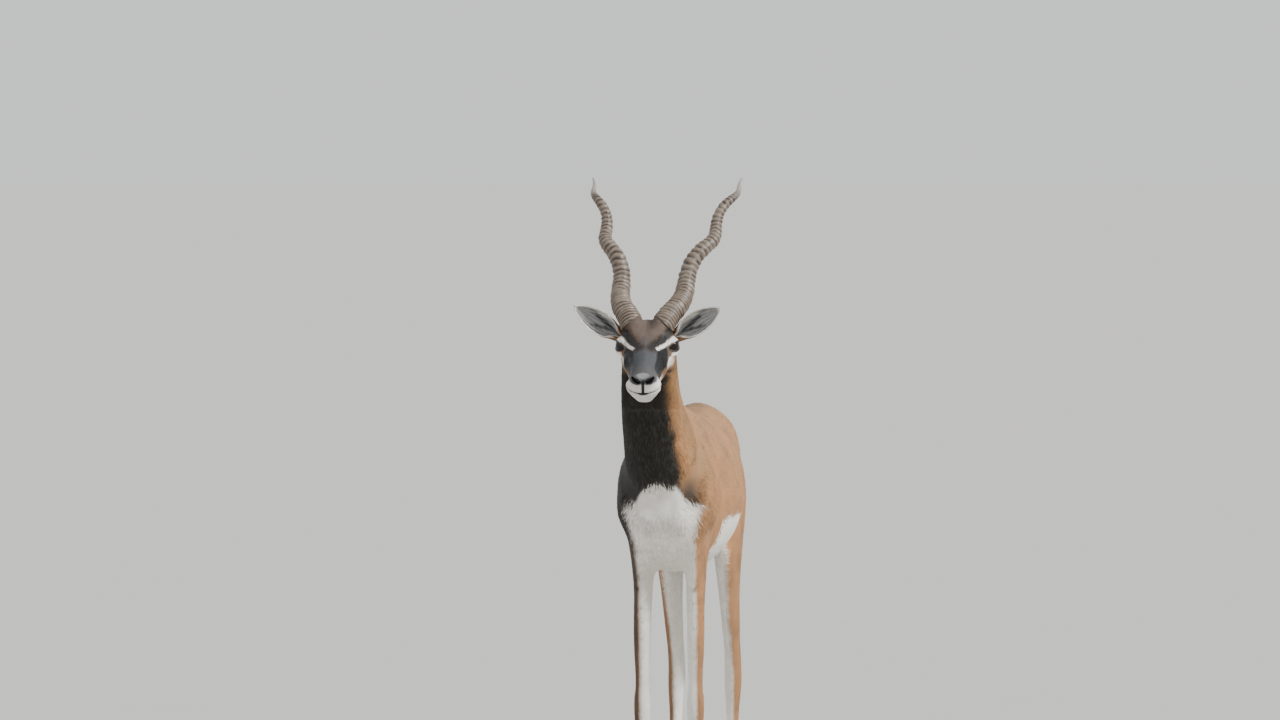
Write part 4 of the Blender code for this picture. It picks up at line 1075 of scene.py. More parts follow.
def face_ground(points, face, marks):
    """The face's brown and grey ground; gives back how much each place belongs to the face."""
    x, u, v = face.T
    throat = zone((v, -0.036, -0.050), (u, 0.085, 0.055), (u, -0.060, -0.030))
    throat *= ramp(points[:, 2], 0.770, 0.785)
    more(marks, "dark", 0.96 * throat)
    on_head = zone((u, -0.080, -0.055), (v, -0.079, -0.067)) * (1 - throat)
    marks["dark"] = marks["dark"] * (1 - on_head) + on_head * 0.40
    marks["pale"] *= 1 - on_head
    upper = on_head * ramp(v, -0.012, 0.020)
    marks["dark"] += upper * (0.28 + 0.20 * ramp(u, 0.010, 0.050))
    more(marks, "grey", (0.34 + 0.10 * ramp(u, 0.015, 0.050)) * upper)
    bridge = zone((x, 0.0270, 0.0215), (v, 0.002, 0.012), (u, 0.036, 0.052))
    middle = zone((u, 0.050, 0.080), (u, 0.122, 0.100))
    more(marks, "dark", (0.90 + 0.08 * middle) * bridge * on_head)
    more(marks, "grey", (0.34 - 0.14 * middle) * bridge * on_head)
    more(marks, "dark", 0.86 * zone((u, 0.060, 0.085), (v, 0.014, 0.004)) * on_head)
    return on_head


def face_patches(face, jitter, on_head, marks):
    """The pale cheeks, ear roots and brows, and the dark over the eyes and at the glands."""
    stripe = line_distance(face, CHEEK_STRIPE)[0] + jitter
    more(marks, "pale", 0.75 * ramp(spot(face, *CHEEK_PALE), 1.15, 0.35) * on_head)
    more(marks, "pale", ramp(stripe, 0.0095, 0.0055) * on_head)
    more(marks, "pale", ramp(spot(face, *EAR_TUFT), 0.013, 0.007) * on_head)
    dark = ramp(line_distance(face, DARK_BROW)[0] + jitter, 0.0185, 0.0050) * 0.96
    gland = ramp(line_distance(face, GLAND_BAND)[0] + jitter, 0.0165, 0.0115)
    dark = np.maximum(dark, gland) * on_head
    more(marks, "dark", dark)
    low = 0.88 + 0.12 * ramp(face[:, 1], 0.050, 0.078)
    more(marks, "black", np.maximum(low * gland, 0.55 * dark**2) * on_head)
    marks["pale"] *= 1 - dark
    marks["grey"] *= 1 - dark * 0.8
    band, along = line_distance(face, BROW_BAND)
    brow = ramp((band + jitter * 0.5) / np.interp(along, *BROW_WIDTH), 1.15, 0.85) * on_head
    more(marks, "pale", brow)
    marks["black"] *= 1 - brow


def muzzle_marks(face, jitter, on_head, marks):
    """The white lips and chin, the dark snout and its pale patch; gives back what is black."""
    x, u, v = face.T
    gap = mouth_gap(face)
    muzzle = zone((u, 0.104, 0.114), (v + jitter, 0.0065, 0.0025))
    lips = np.maximum(muzzle, zone((u, 0.062, 0.080), (gap, 0.002, -0.002))) * on_head
    more(marks, "pale", 0.90 * lips)
    more(marks, "grey", 0.80 * lips)
    marks["black"] *= 1 - lips
    snout = zone((u, 0.108, 0.118), (v, 0.003, 0.008)) * on_head
    more(marks, "dark", 0.9 * snout)
    more(marks, "grey", 0.45 * snout)
    patch = ramp(spot(face, *NOSE_PATCH), 1.15, 0.55) * on_head
    marks["grey"] = np.maximum(marks["grey"] * (1 - patch), 0.9 * patch)
    marks["pale"] = marks["pale"] * (1 - patch) + 0.16 * patch
    nostril = ramp(nostril_share(face), 2.3, 1.3)
    leather = ramp(x - 0.0015 - 0.34 * np.maximum(v - 0.001, 0), 0.0012, -0.0008)
    leather *= zone((v, -0.0060, -0.0030), (v, 0.0125, 0.0095), (u, 0.132, 0.136))
    thick = 0.0009 + 0.0013 * ramp(x, 0.011, 0.002)
    mouth = zone((np.abs(gap), thick * 1.6, thick * 0.8), (u, MOUTH_CORNER, 0.09))
    mouth *= 0.45 + 0.55 * ramp(x, 0.017, 0.006)
    return np.maximum.reduce([nostril, leather, philtrum(face, 0.0032, 0.0018), mouth]) * on_head


def face_marks(points, marks):
    """The face: pale brows, cheeks, lips and chin, dark bridge and gland bands, black nose."""
    face = mirrored(to_head(points))
    jitter = wobble(points, 0.011, 0.0006)
    on_head = face_ground(points, face, marks)
    face_patches(face, jitter, on_head, marks)
    black = muzzle_marks(face, jitter, on_head, marks)
    for side in SIDES:
        _, far, past = round_eye(points, side)
        rim = ramp(past, math.radians(10), math.radians(4)) * (far < 0.027)
        black = np.maximum(black, rim)
    more(marks, "black", black)
    marks["pale"] *= 1 - black
    more(marks, "bare", ramp(black, 0.6, 0.85))


def ear_marks(ear, marks, chosen):
    """The ears: dark grey inside with black lines, a white rim and front edge, fawn behind."""
    share, turn, inside = ear[chosen].T
    edge, root = np.abs(turn), ramp(share, 0.02, 0.14)
    vein = zone((np.abs(turn - np.interp(share, *EAR_VEIN)), 0.17, 0.08), (share, 0.66, 0.55))
    branch = zone((np.abs(turn - np.interp(share, *EAR_BRANCH)), 0.12, 0.05), (share, 0.60, 0.48))
    under = zone((np.abs(turn + 0.74), 0.13, 0.06), (share, 0.90, 0.80))
    over = zone((np.abs(turn - 0.74), 0.10, 0.05), (share, 0.60, 0.70))
    streaks = 0.62 + 0.38 * np.sin(turn * 40 + share * 9)
    black = np.maximum.reduce([vein, branch * 0.9, under * 0.9, over * 0.7]) * root * streaks
    flap = zone((turn, 0.36, 0.52), (share, 0.66, 0.50))
    hairs = 0.5 + 0.5 * np.sin(turn * 26 + share * 5)
    black = inside * black * (1 - flap)
    pale = inside * np.maximum(0.85 * flap, (0.16 + 0.30 * hairs) * root)
    rim = np.maximum(ramp(edge, 0.76, 0.88), ramp(share, 0.92, 0.96)) * inside
    white = np.maximum(rim, zone((edge, 0.93, 0.98), (share, 0.1, 0.2)))
    dark = np.where(inside > 0, 0.55, 0.30)
    under_white = {"grey": inside * 0.95, "dark": dark, "pale": pale * (1 - black), "black": black}
    for name, values in under_white.items():
        marks[name][chosen] = values + ((name == "pale") - values) * white
    marks["warm"][chosen] = 0.2


def tail_marks(tail, marks, chosen):
    """The tail: brown behind, white under it, with a dark end."""
    share, turn, _ = tail[chosen].T
    marks["pale"][chosen] = ramp(turn, -0.30, -0.60)
    marks["dark"][chosen] = 0.35 + 0.6 * ramp(share, 0.55, 0.9)


def markings(points, part, along):
    """How much of each colour of the coat shows at each place, by name."""
    marks = {name: np.zeros(len(points)) for name in MARKS}
    body_marks(points, marks)
    face_marks(points, marks)
    ears, tail = part == EAR, part == TAIL
    for name in ("black", "bare"):
        marks[name][ears | tail] = 0
    ear_marks(along, marks, ears)
    tail_marks(along, marks, tail)
    return {name: np.clip(values, 0, 1) for name, values in marks.items()}


def unit_rows(rows):
    """Each row made one long."""
    return rows / np.maximum(np.linalg.norm(rows, axis=1), 1e-9)[:, None]


def set_points(mesh, points):
    """Moves a mesh's points to these places."""
    mesh.vertices.foreach_set("co", np.ascontiguousarray(points, np.float32).ravel())
    mesh.update()


def set_marks(mesh, marks):
    """Stores the amounts of each colour on the mesh's points, for the material to read."""
    for name, values in marks.items():
        layer = mesh.attributes.new(name, "FLOAT", "POINT")
        layer.data.foreach_set("value", np.ascontiguousarray(values, np.float32))


def make_skin():
    """The whole skin as one object, with each point's part and place along it."""
    flesh = fused_flesh()
    points, normals = arrays_of(flesh.data)
    points = sculpted(points, normals)
    set_points(flesh.data, points)
    graph = bpy.context.evaluated_depsgraph_get()
    graph.update()
    tree = BVHTree.FromObject(flesh, graph)
    eyelids = [lids(side, tree) for side in SIDES]
    sculpt_eyes(points)
    set_points(flesh.data, points)
    pieces = [flesh, *eyelids]
    parts = [np.zeros(len(points), int)]
    parts += [np.full(len(lid.data.vertices), LIDS) for lid in eyelids]
    along = [np.zeros((len(part), 3)) for part in parts]
    for kind, (shell, rows) in [(EAR, ear_shell(side)) for side in SIDES] + [(TAIL, tail_shell())]:
        pieces.append(shell)
        parts.append(np.full(len(rows), kind))
        along.append(rows)
    skin = joined("skin", pieces)
    part, along = np.concatenate(parts), np.concatenate(along)
    points, _ = arrays_of(skin.data)
    set_marks(skin.data, markings(points, part, along))
    skin.data.shade_smooth()
    return skin, part, along


# Lines that the coat of the neck, trunk and seat lies along, with the reach of each
COAT_LINES = [
    (((0, -0.290, 0.880), (0, -0.215, 0.800), (0, -0.140, 0.710), (0, -0.085, 0.610)), 0.055),
    (((0, -0.070, 0.690), (0, 0.090, 0.650), (0, 0.300, 0.650), (0, 0.500, 0.690)), 0.100),
    (((0, 0.500, 0.720), (0, 0.575, 0.660), (0, 0.570, 0.590)), 0.060),
]
# The face's line in the head's own axes, with its reach, and the reach of a leg's line
FACE_LINE, FACE_REACH = ((0, 0.150, -0.008), (0, 0.060, -0.012), (0, -0.085, -0.020)), 0.040
LEG_REACH = 0.030

# Limits of the coat's pieces: the face's u and height, the neck's y and height, the rump's and
# the trunk's halfway y, the tops of the legs, and the y between which there are only flanks
FACE_BACK, FACE_LOW = -0.070, 0.775
NECK_BACK, NECK_LOW = -0.105, 0.655
RUMP_FRONT = 0.33
MIDWAY = 0.2
LEG_LOW = {"fore": 0.520, "hind": 0.560}
LEG_NEAR = (0.10, 0.345)
# No tufts grow below this height, or as near as this to an eye, a horn's or the tail's middle
SOLE_CLEAR = 0.024
LID_CLEAR, LID_CLEAR_TURN = 0.030, math.radians(13)
HORN_CLEAR = 0.0195
TAIL_CLEAR = 0.0125


def flow_lines():
    """Straight lines that the coat lies along: start, end, reach."""
    lines = [*COAT_LINES, ([head_point(*place) for place in FACE_LINE], FACE_REACH)]
    for foot, rows in LEGS.items():
        side = foot_side(foot)
        middles = [
            (side * x, (y1 + y2) / 2, (z1 + z2) / 2)
            for y1, z1, y2, z2, x, _ in foot_shift(rows, foot)[1::3]
        ]
        lines.append((middles, LEG_REACH))
    return [
        (np.array(start, float), np.array(end, float), reach)
        for line, reach in lines
        for start, end in zip(line, line[1:])
    ]


def coat_flow(points, normals, part, side_of):
    """The way the coat lies at each place: along the nearest lines, in the skin's own surface."""
    flow = np.zeros_like(points)
    for start, end, reach in flow_lines():
        step = end - start
        t = np.clip((points - start) @ step / (step @ step), 0, 1)
        far = np.linalg.norm(points - start - t[:, None] * step, axis=1)
        flow += (step / np.linalg.norm(step)) * ((reach / np.maximum(far, 0.004)) ** 4)[:, None]
    for side in SIDES:
        chosen = (part == EAR) & (side_of == side)
        flow[chosen] = np.array(ear_frame(side)[1])
        local, far, _ = round_eye(points, side)
        away = unit_rows(local * (1, 1, 0)) @ np.array(eye_axes(side)).T
        near = ramp(far, 0.030, 0.018)[:, None] * (part != EAR)[:, None]
        flow = unit_rows(flow) * (1 - near) + away * near * 1.5
    head = to_head(points)
    front = (ramp(head[:, 1], 0.116, 0.128) * (part == BODY))[:, None]
    spread = np.outer(np.sign(head[:, 0]), (1.0, 0.0, 0.0)) + (0.0, 0.0, -0.6)
    flow = unit_rows(flow) + 2 * front * spread
    flow[part == TAIL] = np.array(tail_direction())
    flow = unit_rows(flow - normals * np.sum(flow * normals, axis=1)[:, None])
    sideways = np.cross(normals, flow)
    sway = wobble(points, 0.045, 0.16)[:, None]
    return flow * np.cos(sway) + sideways * np.sin(sway)


def coat_regions(points, part):
    """The coat piece that each place belongs to."""
    head = to_head(points)
    x, y, z = points.T
    side = np.where(x > 0, "left", "right")
    names = np.array(["coat_torso_" + word for word in side], dtype=object)
    near = (np.abs(y) < LEG_NEAR[0]) | (y > LEG_NEAR[1])
    limbs = {
        "coat_rump_": y > RUMP_FRONT,
        "coat_leg_fore_": (z < LEG_LOW["fore"]) & (y < MIDWAY) & near,
        "coat_leg_hind_": (z < LEG_LOW["hind"]) & (y > MIDWAY) & near,
        "coat_ear_": part == EAR,
    }
    for start, chosen in limbs.items():
        names[chosen] = [start + word for word in side[chosen]]
    flesh = part != EAR
    names[flesh & (y < NECK_BACK) & (z > NECK_LOW)] = "coat_neck"
    names[flesh & (head[:, 1] > FACE_BACK) & (z > FACE_LOW)] = "coat_head"
    names[part == TAIL] = "coat_tail"
    return names


# Coat of each kind of piece: spacing, length, width, lift in degrees, bent or straight tufts,
# and how far apart two hairs of one tuft can take their colour from
COATS = {
    "coat_head": (0.00115, 0.0052, 0.00095, 7, False, 0.0005),
    "coat_neck": (0.00225, 0.0130, 0.00150, 4.5, True, 0.0025),
    "coat_torso": (0.00290, 0.0140, 0.00175, 3.6, True, 0.0025),
    "coat_rump": (0.00290, 0.0140, 0.00175, 3.6, True, 0.0025),
    "coat_leg": (0.00165, 0.0072, 0.00125, 3.6, False, 0.0012),
    "coat_ear": (0.00130, 0.0075, 0.00085, 6, False, 0.0),
    "coat_tail": (0.00170, 0.0240, 0.00150, 8, True, 0.0),
}
# A straight tuft and a bent one: points (along, across, up, tip share), and triangles
STRAIGHT_TUFT = (
    [(0, -0.5, 0, 0), (0, 0.5, 0, 0), (0, 0, 1, 0), (1, 0, 0, 1)],
    [(0, 2, 1), (0, 3, 2), (2, 3, 1), (1, 3, 0)],
)
BENT_TUFT = (
    [(0, -0.42, 0, 0), (0, 0.42, 0, 0), (0, 0, 0.8, 0)]
    + [(0.45, -0.5, 0, 0.45), (0.45, 0.5, 0, 0.45), (0.45, 0, 1, 0.45), (1, 0, 0, 1)],
    [(0, 2, 1), (0, 3, 5), (0, 5, 2), (2, 5, 4), (2, 4, 1), (1, 4, 3), (1, 3, 0)]
    + [(3, 6, 5), (5, 6, 4), (4, 6, 3)],
)
TUFT_SUNK = 0.0007
TUFT_SUNK_SHARE = 0.045
TUFT_THICK = 0.22
PATCH = 0.003


def coat_lengths(points, part, along):
    """How long the coat is at each place, as a share of its piece's own length."""
    head = to_head(points)
    share = np.ones(len(points))
    face = (part == BODY) & (head[:, 1] > FACE_BACK) & (points[:, 2] > FACE_LOW)
    share[face] = 1.2 - 0.80 * ramp(head[face, 1], 0.0, 0.120)
    share[face] += 0.45 * ramp(head[face, 1], -0.030, -0.070)
    neck = (part == BODY) & ~face & (points[:, 1] < NECK_BACK) & (points[:, 2] > 0.70)
    share[neck] *= 0.62 + 0.38 * ramp(points[neck, 2], 0.860, 0.780)
    for side in SIDES:
        far = np.linalg.norm(points - np.array(eye_centre(side)), axis=1)
        share *= 0.40 + 0.60 * ramp(far, 0.018, 0.030)
    legs = (part == BODY) & (points[:, 2] < 0.52)
    share[legs] *= 0.75 + 0.95 * ramp(points[legs, 2], 0.30, 0.52)
    share[legs] *= 0.70 + 0.30 * ramp(points[legs, 2], 0.03, 0.10)
    tail = part == TAIL
    share[tail] *= 0.55 + 0.45 * np.sin(math.pi * np.clip(along[tail, 0], 0, 1))
    ears = part == EAR
    tipward = ramp(along[ears, 0], 0.62, 1.0)
    share[ears] *= 1 - 0.55 * tipward
    share[ears] *= np.where(np.abs(along[ears, 1]) > 0.86, 0.75, 1.0)
    return share


def unwrap(name, points, along):
    """Places on an unwrap of the piece's own round shape: turns about its middle by its length."""
    head = to_head(points)
    x, y, z = points.T
    if name == "coat_head":
        turn, far = np.arctan2(x, head[:, 2] + 0.012), head[:, 1]
    elif name == "coat_neck":
        turn, far = np.radians(neck_turn(points)), z
    elif name.startswith("coat_leg"):
        foot = name.removeprefix("coat_leg_")
        middle, _, centre, _ = leg_section(z, foot)
        turn, far = np.arctan2(x - centre * foot_side(foot), y - middle), z
    elif name.startswith("coat_ear"):
        turn, far = (along[:, 1] + 2.1 * along[:, 2]) * 1.4, along[:, 0]
    elif name == "coat_tail":
        turn, far = np.arctan2(along[:, 1], x * 60), along[:, 0]
    else:
        turn, far = np.arctan2(z - 0.63, np.abs(x)), y
    flat = np.column_stack([turn, far])
    low, high = flat.min(0), flat.max(0)
    return 0.01 + 0.98 * (flat - low) / np.maximum(high - low, 1e-9)


def big_mesh(name, points, triangles):
    """A mesh object made straight from arrays, which is quick for many small tufts."""
    mesh = bpy.data.meshes.new(name)
    mesh.vertices.add(len(points))
    set_points(mesh, points)
    mesh.loops.add(triangles.size)
    mesh.loops.foreach_set("vertex_index", np.ascontiguousarray(triangles, np.int32).ravel())
    mesh.polygons.add(len(triangles))
    mesh.polygons.foreach_set("loop_start", np.arange(0, triangles.size, 3, dtype=np.int32))
    mesh.update(calc_edges=True)
    mesh.validate()
    made = bpy.data.objects.new(name, mesh)
    bpy.context.scene.collection.objects.link(made)
    return made


def make_tufts(name, roots, normals, flow, sizes, marks, flat, bent, rng):
    """One coat piece: a tuft on each root, lying the way the coat flows there."""
    count = len(roots)
    length, width, lift = sizes
    shape, triangles = BENT_TUFT if bent else STRAIGHT_TUFT
    shape, triangles = np.array(shape, float), np.array(triangles)
    across = np.cross(normals, flow)
    bend = rng.normal(0, 0.10, count)
    lift = np.radians(lift) * (1 + rng.normal(0, 0.30, count)).clip(0.3, 2.2)
    reach, side, up, tip = (shape[:, k][None, :] for k in range(4))
    rise = np.sin(lift)[:, None] * reach * (1.15 - 0.35 * reach)
    ahead = np.cos(lift)[:, None] * reach
    swing = bend[:, None] * reach**2 + side * (width / length)[:, None]
    thick = up * TUFT_THICK * (width / length)[:, None]
    sunk = np.minimum(TUFT_SUNK, TUFT_SUNK_SHARE * length)[:, None]
    points = (roots - normals * sunk)[:, None, :]
    points = points + flow[:, None, :] * (ahead * length[:, None])[:, :, None]
    points = points + across[:, None, :] * (swing * length[:, None])[:, :, None]
    points = points + normals[:, None, :] * ((rise + thick) * length[:, None])[:, :, None]
    size = len(shape)
    faces = (np.arange(count) * size)[:, None, None] + triangles[None]
    piece = big_mesh(name, points.reshape(-1, 3), faces.reshape(-1, 3))
    mesh = piece.data
    shade = normals[:, None, :] + across[:, None, :] * (side * 0.6)[:, :, None]
    shade = shade + flow[:, None, :] * (tip * 0.25)[:, :, None]
    shade /= np.linalg.norm(shade, axis=2)[:, :, None]
    mesh.shade_smooth()
    mesh.normals_split_custom_set_from_vertices(shade.reshape(-1, 3).tolist())
    spread = {key: np.repeat(values, size) for key, values in marks.items() if key != "bare"}
    spread["tint"] = np.repeat(rng.random(count), size)
    spread["tip"] = np.tile(shape[:, 3], count)
    set_marks(mesh, spread)
    patch = np.column_stack([shape[:, 1], shape[:, 0] - 0.5]) * PATCH
    places = (flat[:, None, :] + patch[None]).reshape(-1, 2)
    uv = mesh.uv_layers.new(name="OFBake")
    uv.data.foreach_set("uv", places[faces.reshape(-1)].astype(np.float32).ravel())
    return piece


def triangle_rows(mesh):
    """The three points of each triangle of a mesh, as rows."""
    mesh.calc_loop_triangles()
    rows = np.empty(len(mesh.loop_triangles) * 3, np.int32)
    mesh.loop_triangles.foreach_get("vertices", rows)
    return rows.reshape(-1, 3)


def make_coat(skin, part, along, length_share, seed):
    """All the coat pieces: tufts drawn by chance over the skin, closest where it is shortest."""
    rng = np.random.default_rng(seed)
    points, normals = arrays_of(skin.data)
    rows = triangle_rows(skin.data)
    centres = points[rows].mean(axis=1)
    kinds = part[rows].max(axis=1)
    regions = coat_regions(centres, kinds)
    edges = points[rows[:, 1:]] - points[rows[:, :1]]
    areas = np.linalg.norm(np.cross(edges[:, 0], edges[:, 1]), axis=1) / 2
    areas[kinds == LIDS] = 0
    made = []
    for name in sorted(set(regions)):
        spacing, length, width, lift, bent, mixing = next(
            value for start, value in COATS.items() if name.startswith(start)
        )
        own = np.flatnonzero(regions == name)
        count = int(areas[own].sum() / spacing**2)
        picked = own[np.searchsorted(np.cumsum(areas[own]), rng.random(count) * areas[own].sum())]
        first, second = rng.random(count), rng.random(count)
        over = first + second > 1
        first[over], second[over] = 1 - first[over], 1 - second[over]
        weights = np.column_stack([1 - first - second, first, second])[:, :, None]
        roots = (points[rows[picked]] * weights).sum(axis=1)
        facing = (normals[rows[picked]] * weights).sum(axis=1)
        facing /= np.linalg.norm(facing, axis=1)[:, None]
        kind = kinds[picked]
        places = (along[rows[picked]] * weights).sum(axis=1)
        marks = markings(roots + rng.normal(0, mixing, roots.shape), kind, places)
        keep = (marks["bare"] < 0.5) & (roots[:, 2] > SOLE_CLEAR)
        keep &= outside(roots, kind, places)
        roots, facing, kind, places = roots[keep], facing[keep], kind[keep], places[keep]
        marks = {key: values[keep] for key, values in marks.items()}
        flow = coat_flow(roots, facing, kind, np.where(roots[:, 0] > 0, 1, -1))
        share = coat_lengths(roots, kind, places)
        share = share * rng.uniform(0.75, 1.2, len(roots)) * length_share
        sizes = (length * share, width * np.sqrt(share), np.full(len(roots), float(lift)))
        flat = unwrap(name, roots, places)
        made.append(make_tufts(name, roots, facing, flow, sizes, marks, flat, bent, rng))
    return made


def outside(points, part, along):
    """Which places show: not behind the lids, under the horns, or where ears and tail are sunk."""
    shown = np.ones(len(points), bool)
    for side in SIDES:
        _, far, past = round_eye(points, side)
        shown &= ~((far < LID_CLEAR) & (past < LID_CLEAR_TURN))
        base, direction = horn_start(side)
        reach = (points - np.array(base)) @ np.array(direction)
        beside = points - np.array(base) - reach[:, None] * direction
        start = -0.002 - HORN_SLANT * np.clip(beside @ np.array(horn_front(side)), 0, 0.02)
        under = np.linalg.norm(beside, axis=1) < HORN_CLEAR
        shown &= ~((reach > start) & under & (part == BODY))
    shown &= ~((part == EAR) & (along[:, 0] < -0.02))
    hung = np.array(TAIL_TIP - TAIL_ROOT)
    down = np.clip((points - np.array(TAIL_ROOT)) @ hung / (hung @ hung), -0.1, 0.5)
    beside = points - np.array(TAIL_ROOT) - down[:, None] * hung
    under = np.linalg.norm(beside * (0.6, 1, 1), axis=1) < TAIL_CLEAR
    shown &= ~((part == BODY) & under)
    return shown

HORN_SIDES = 48
HORN_STEP = 0.0010
HORN_RING_HEIGHT = 0.0023
# How far the horn's front reaches down over the forehead, as a share of its radius
HORN_SLANT = 0.75
# Rings of a horn: share of the length, distance from one ring to the next
HORN_SPACING = [(0.0, 0.0066), (0.17, 0.0070), (0.27, 0.0118), (0.60, 0.0120), (0.84, 0.0085)]
# Share of the length where the rings fade out, and the length of the fade
HORN_FADE_START, HORN_FADE = 0.80, 0.08
HORN_FRONT_TOP = 0.12
# Where the first ring starts, as a share of a ring's distance
HORN_FIRST_RING = 0.6
# How far the rings wander up and down round the horn, as a share of their distance: once round
# and three times round, each with its drift from ring to ring
HORN_WANDER = ((0.16, 1, 0.9), (0.07, 3, 1.7))
HORN_LEAN, HORN_SHARPNESS = 1.5, 1.7
HORN_GRAIN = 0.00022
HORN_STEPS = 60
# The ball is a little small to clear its lids; the cornea's rise, and the pupil's half width
# and half height
EYE_CLEAR = 0.0001
CORNEA = 0.0005
PUPIL = (0.0058, 0.0030)
CLAW_SIDES = 40
CLAW_RINGS = 26
CLAW_FLARE = 0.10
CLAW_FRONT = 0.0340
CLAW_BACK = 0.0215
CLAW_FORWARD = -0.0030
# Share of a claw's ring that is its rounded outside, and where a claw starts above the hair's end
CLAW_ROUND = 0.7
CLAW_START = -0.10
CLAW_RIPPLE = 0.00012
CLAW_SOLE_EDGE, CLAW_TOP_EDGE = 0.0009, 0.0012


def horn_front(side):
    """The way the front of a horn's base faces: across the horn, towards the nose."""
    direction = horn_start(side)[1]
    ahead = head_point(0.0, 1.0, 0.0) - EYE_LINE
    return (ahead - direction * ahead.dot(direction)).normalized()


def horn_piece(side):
    """One horn: a winding cone with wavy raised rings that fade out below its smooth pale tip."""
    middles = [horn_path(i / HORN_STEPS, side)[0] for i in range(HORN_STEPS + 1)]
    length = sum((end - start).length for start, end in zip(middles, middles[1:]))
    shares = np.linspace(0.0, 1.0, int(length / HORN_STEP))
    spacing = np.interp(shares, *np.array(HORN_SPACING).T)
    rings_passed = np.cumsum(length / len(shares) / spacing)
    direction, front = horn_start(side)[1], horn_front(side)
    sections, rows = [], []
    for share, passed in zip(shares[:-1], rings_passed):
        centre, radius = horn_path(share, side)
        ahead = horn_path(min(1.0, share + 0.01), side)[0]
        behind = horn_path(max(0.0, share - 0.01), side)[0]
        tangent = (ahead - behind).normalized()
        across = tangent.cross(Vector((0, 1, 0))).normalized()
        up = across.cross(tangent)
        fade = 1 - max(0.0, min(1.0, (share - HORN_FADE_START) / HORN_FADE))
        low = HORN_SLANT * radius * max(0.0, 1 - share / HORN_FRONT_TOP)
        section = []
        for i in range(HORN_SIDES):
            angle = 2 * math.pi * i / HORN_SIDES
            away = across * math.cos(angle) + up * math.sin(angle)
            slant = low * max(0.0, away.dot(front))
            here = passed - slant / HORN_SPACING[0][1]
            wave = sum(a * math.sin(turns * angle + here * b) for a, turns, b in HORN_WANDER)
            place = (here + wave + HORN_FIRST_RING) % 1.0
            ridge = math.sin(math.pi * place**HORN_LEAN) ** HORN_SHARPNESS
            strong = 0.80 + 0.30 * math.sin(angle * 2 + passed * 2.3 + side)
            height = HORN_RING_HEIGHT * fade * min(1.0, radius / 0.013) * strong
            grain = HORN_GRAIN * math.sin(angle * 17 + share * 30) * math.sin(angle * 7 + 1.3)
            reach = radius + height * (ridge - 0.45) + grain * fade
            section.append(centre + away * reach - direction * slant)
            rows.append((ridge * fade, share))
        sections.append(section)
    piece = loft("horn_keratin_" + SIDES[side], sections, tip=horn_path(1.0, side)[0])
    rows = np.array(rows + [(0.0, 1.0)])
    set_marks(piece.data, {"ridge": rows[:, 0], "share": rows[:, 1]})
    piece.data.shade_smooth()
    return piece


def eye_piece(side):
    """One eye: a ball with a low cornea, its iris and level pupil marked on its points."""
    centre, axes = eye_centre(side), eye_axes(side)
    piece = ball("eyeball_" + SIDES[side], Vector(), (1, 1, 1), segments=64, rings=40)
    points, _ = arrays_of(piece.data)
    away = np.degrees(np.arccos(np.clip(points[:, 2], -1, 1)))
    reach = EYE_RADIUS - EYE_CLEAR + CORNEA * ramp(away, 42, 24)
    along, up = points[:, 0] * EYE_RADIUS, points[:, 1] * EYE_RADIUS
    pupil = np.sqrt((along / PUPIL[0]) ** 2 + (up / PUPIL[1]) ** 2)
    front = points[:, 2] > 0
    marks = {
        "pupil": ramp(pupil, 1.12, 0.92) * front,
        "iris": ramp(away, 41, 36),
        "ray": np.arctan2(up, along),
    }
    set_points(piece.data, (points * reach[:, None]) @ np.array(axes).T + np.array(centre))
    if axes.determinant() < 0:
        piece.data.flip_normals()
    set_marks(piece.data, marks)
    piece.data.shade_smooth()
    return piece


def claw_piece(foot, place):
    """One claw: half of a hoof with fine growth rings, from under the hair to its flat sole."""
    y1, z1, y2, z2, x, width = foot_shift(LEGS[foot], foot)[CORONET_ROW]
    centre = Vector((foot_side(foot) * x, (y1 + y2) / 2, (z1 + z2) / 2))
    half = (Vector((0, y2, z2)) - Vector((0, y1, z1))).length / 2
    back = Vector((0, y2 - y1, z2 - z1)).normalized()
    shares = [CLAW_START] + [i / (CLAW_RINGS - 1) for i in range(CLAW_RINGS)]
    sections, rows = [], []
    for share in shares:
        section = []
        edge = CLAW_SOLE_EDGE * max(0.0, (share - 0.94) / 0.06)
        edge += CLAW_TOP_EDGE * max(0.0, share / CLAW_START)
        ripple = CLAW_RIPPLE * math.sin(share * 46) * min(1.0, max(0.0, 1 - share) * 6)
        for i in range(CLAW_SIDES):
            outer = i < CLAW_SIDES * CLAW_ROUND
            step = i / CLAW_SIDES / CLAW_ROUND
            if not outer:
                step = (i / CLAW_SIDES - CLAW_ROUND) / (1 - CLAW_ROUND)
            angle = math.pi * step if outer else 0.0
            ahead = -math.cos(angle) if outer else 1 - 2 * step
            out = math.sin(angle) ** 0.8 * (width - 0.0008) * (1 + CLAW_FLARE * max(0.0, share))
            out = max(0.0, out - edge + ripple) if outer else 0.0002
            top = centre + back * (ahead * (half * 0.97 - edge))
            length = (CLAW_FRONT if ahead < 0 else CLAW_BACK) - edge
            low = Vector((centre.x, centre.y + ahead * length + CLAW_FORWARD, 0.0))
            point = top + (low - top) * share
            splay = place * (0.0006 + 0.0018 * max(0.0, share) * (0.5 - ahead * 0.5))
            section.append(Vector((centre.x + splay + place * out, point.y, max(0.0, point.z))))
            rows.append(share)
        sections.append(section)
    end = "_outer" if place * centre.x > 0 else "_inner"
    piece = loft("hoof_" + foot + end, sections)
    set_marks(piece.data, {"share": np.array(rows)})
    piece.data.shade_smooth()
    return piece, "claw_" + foot + end


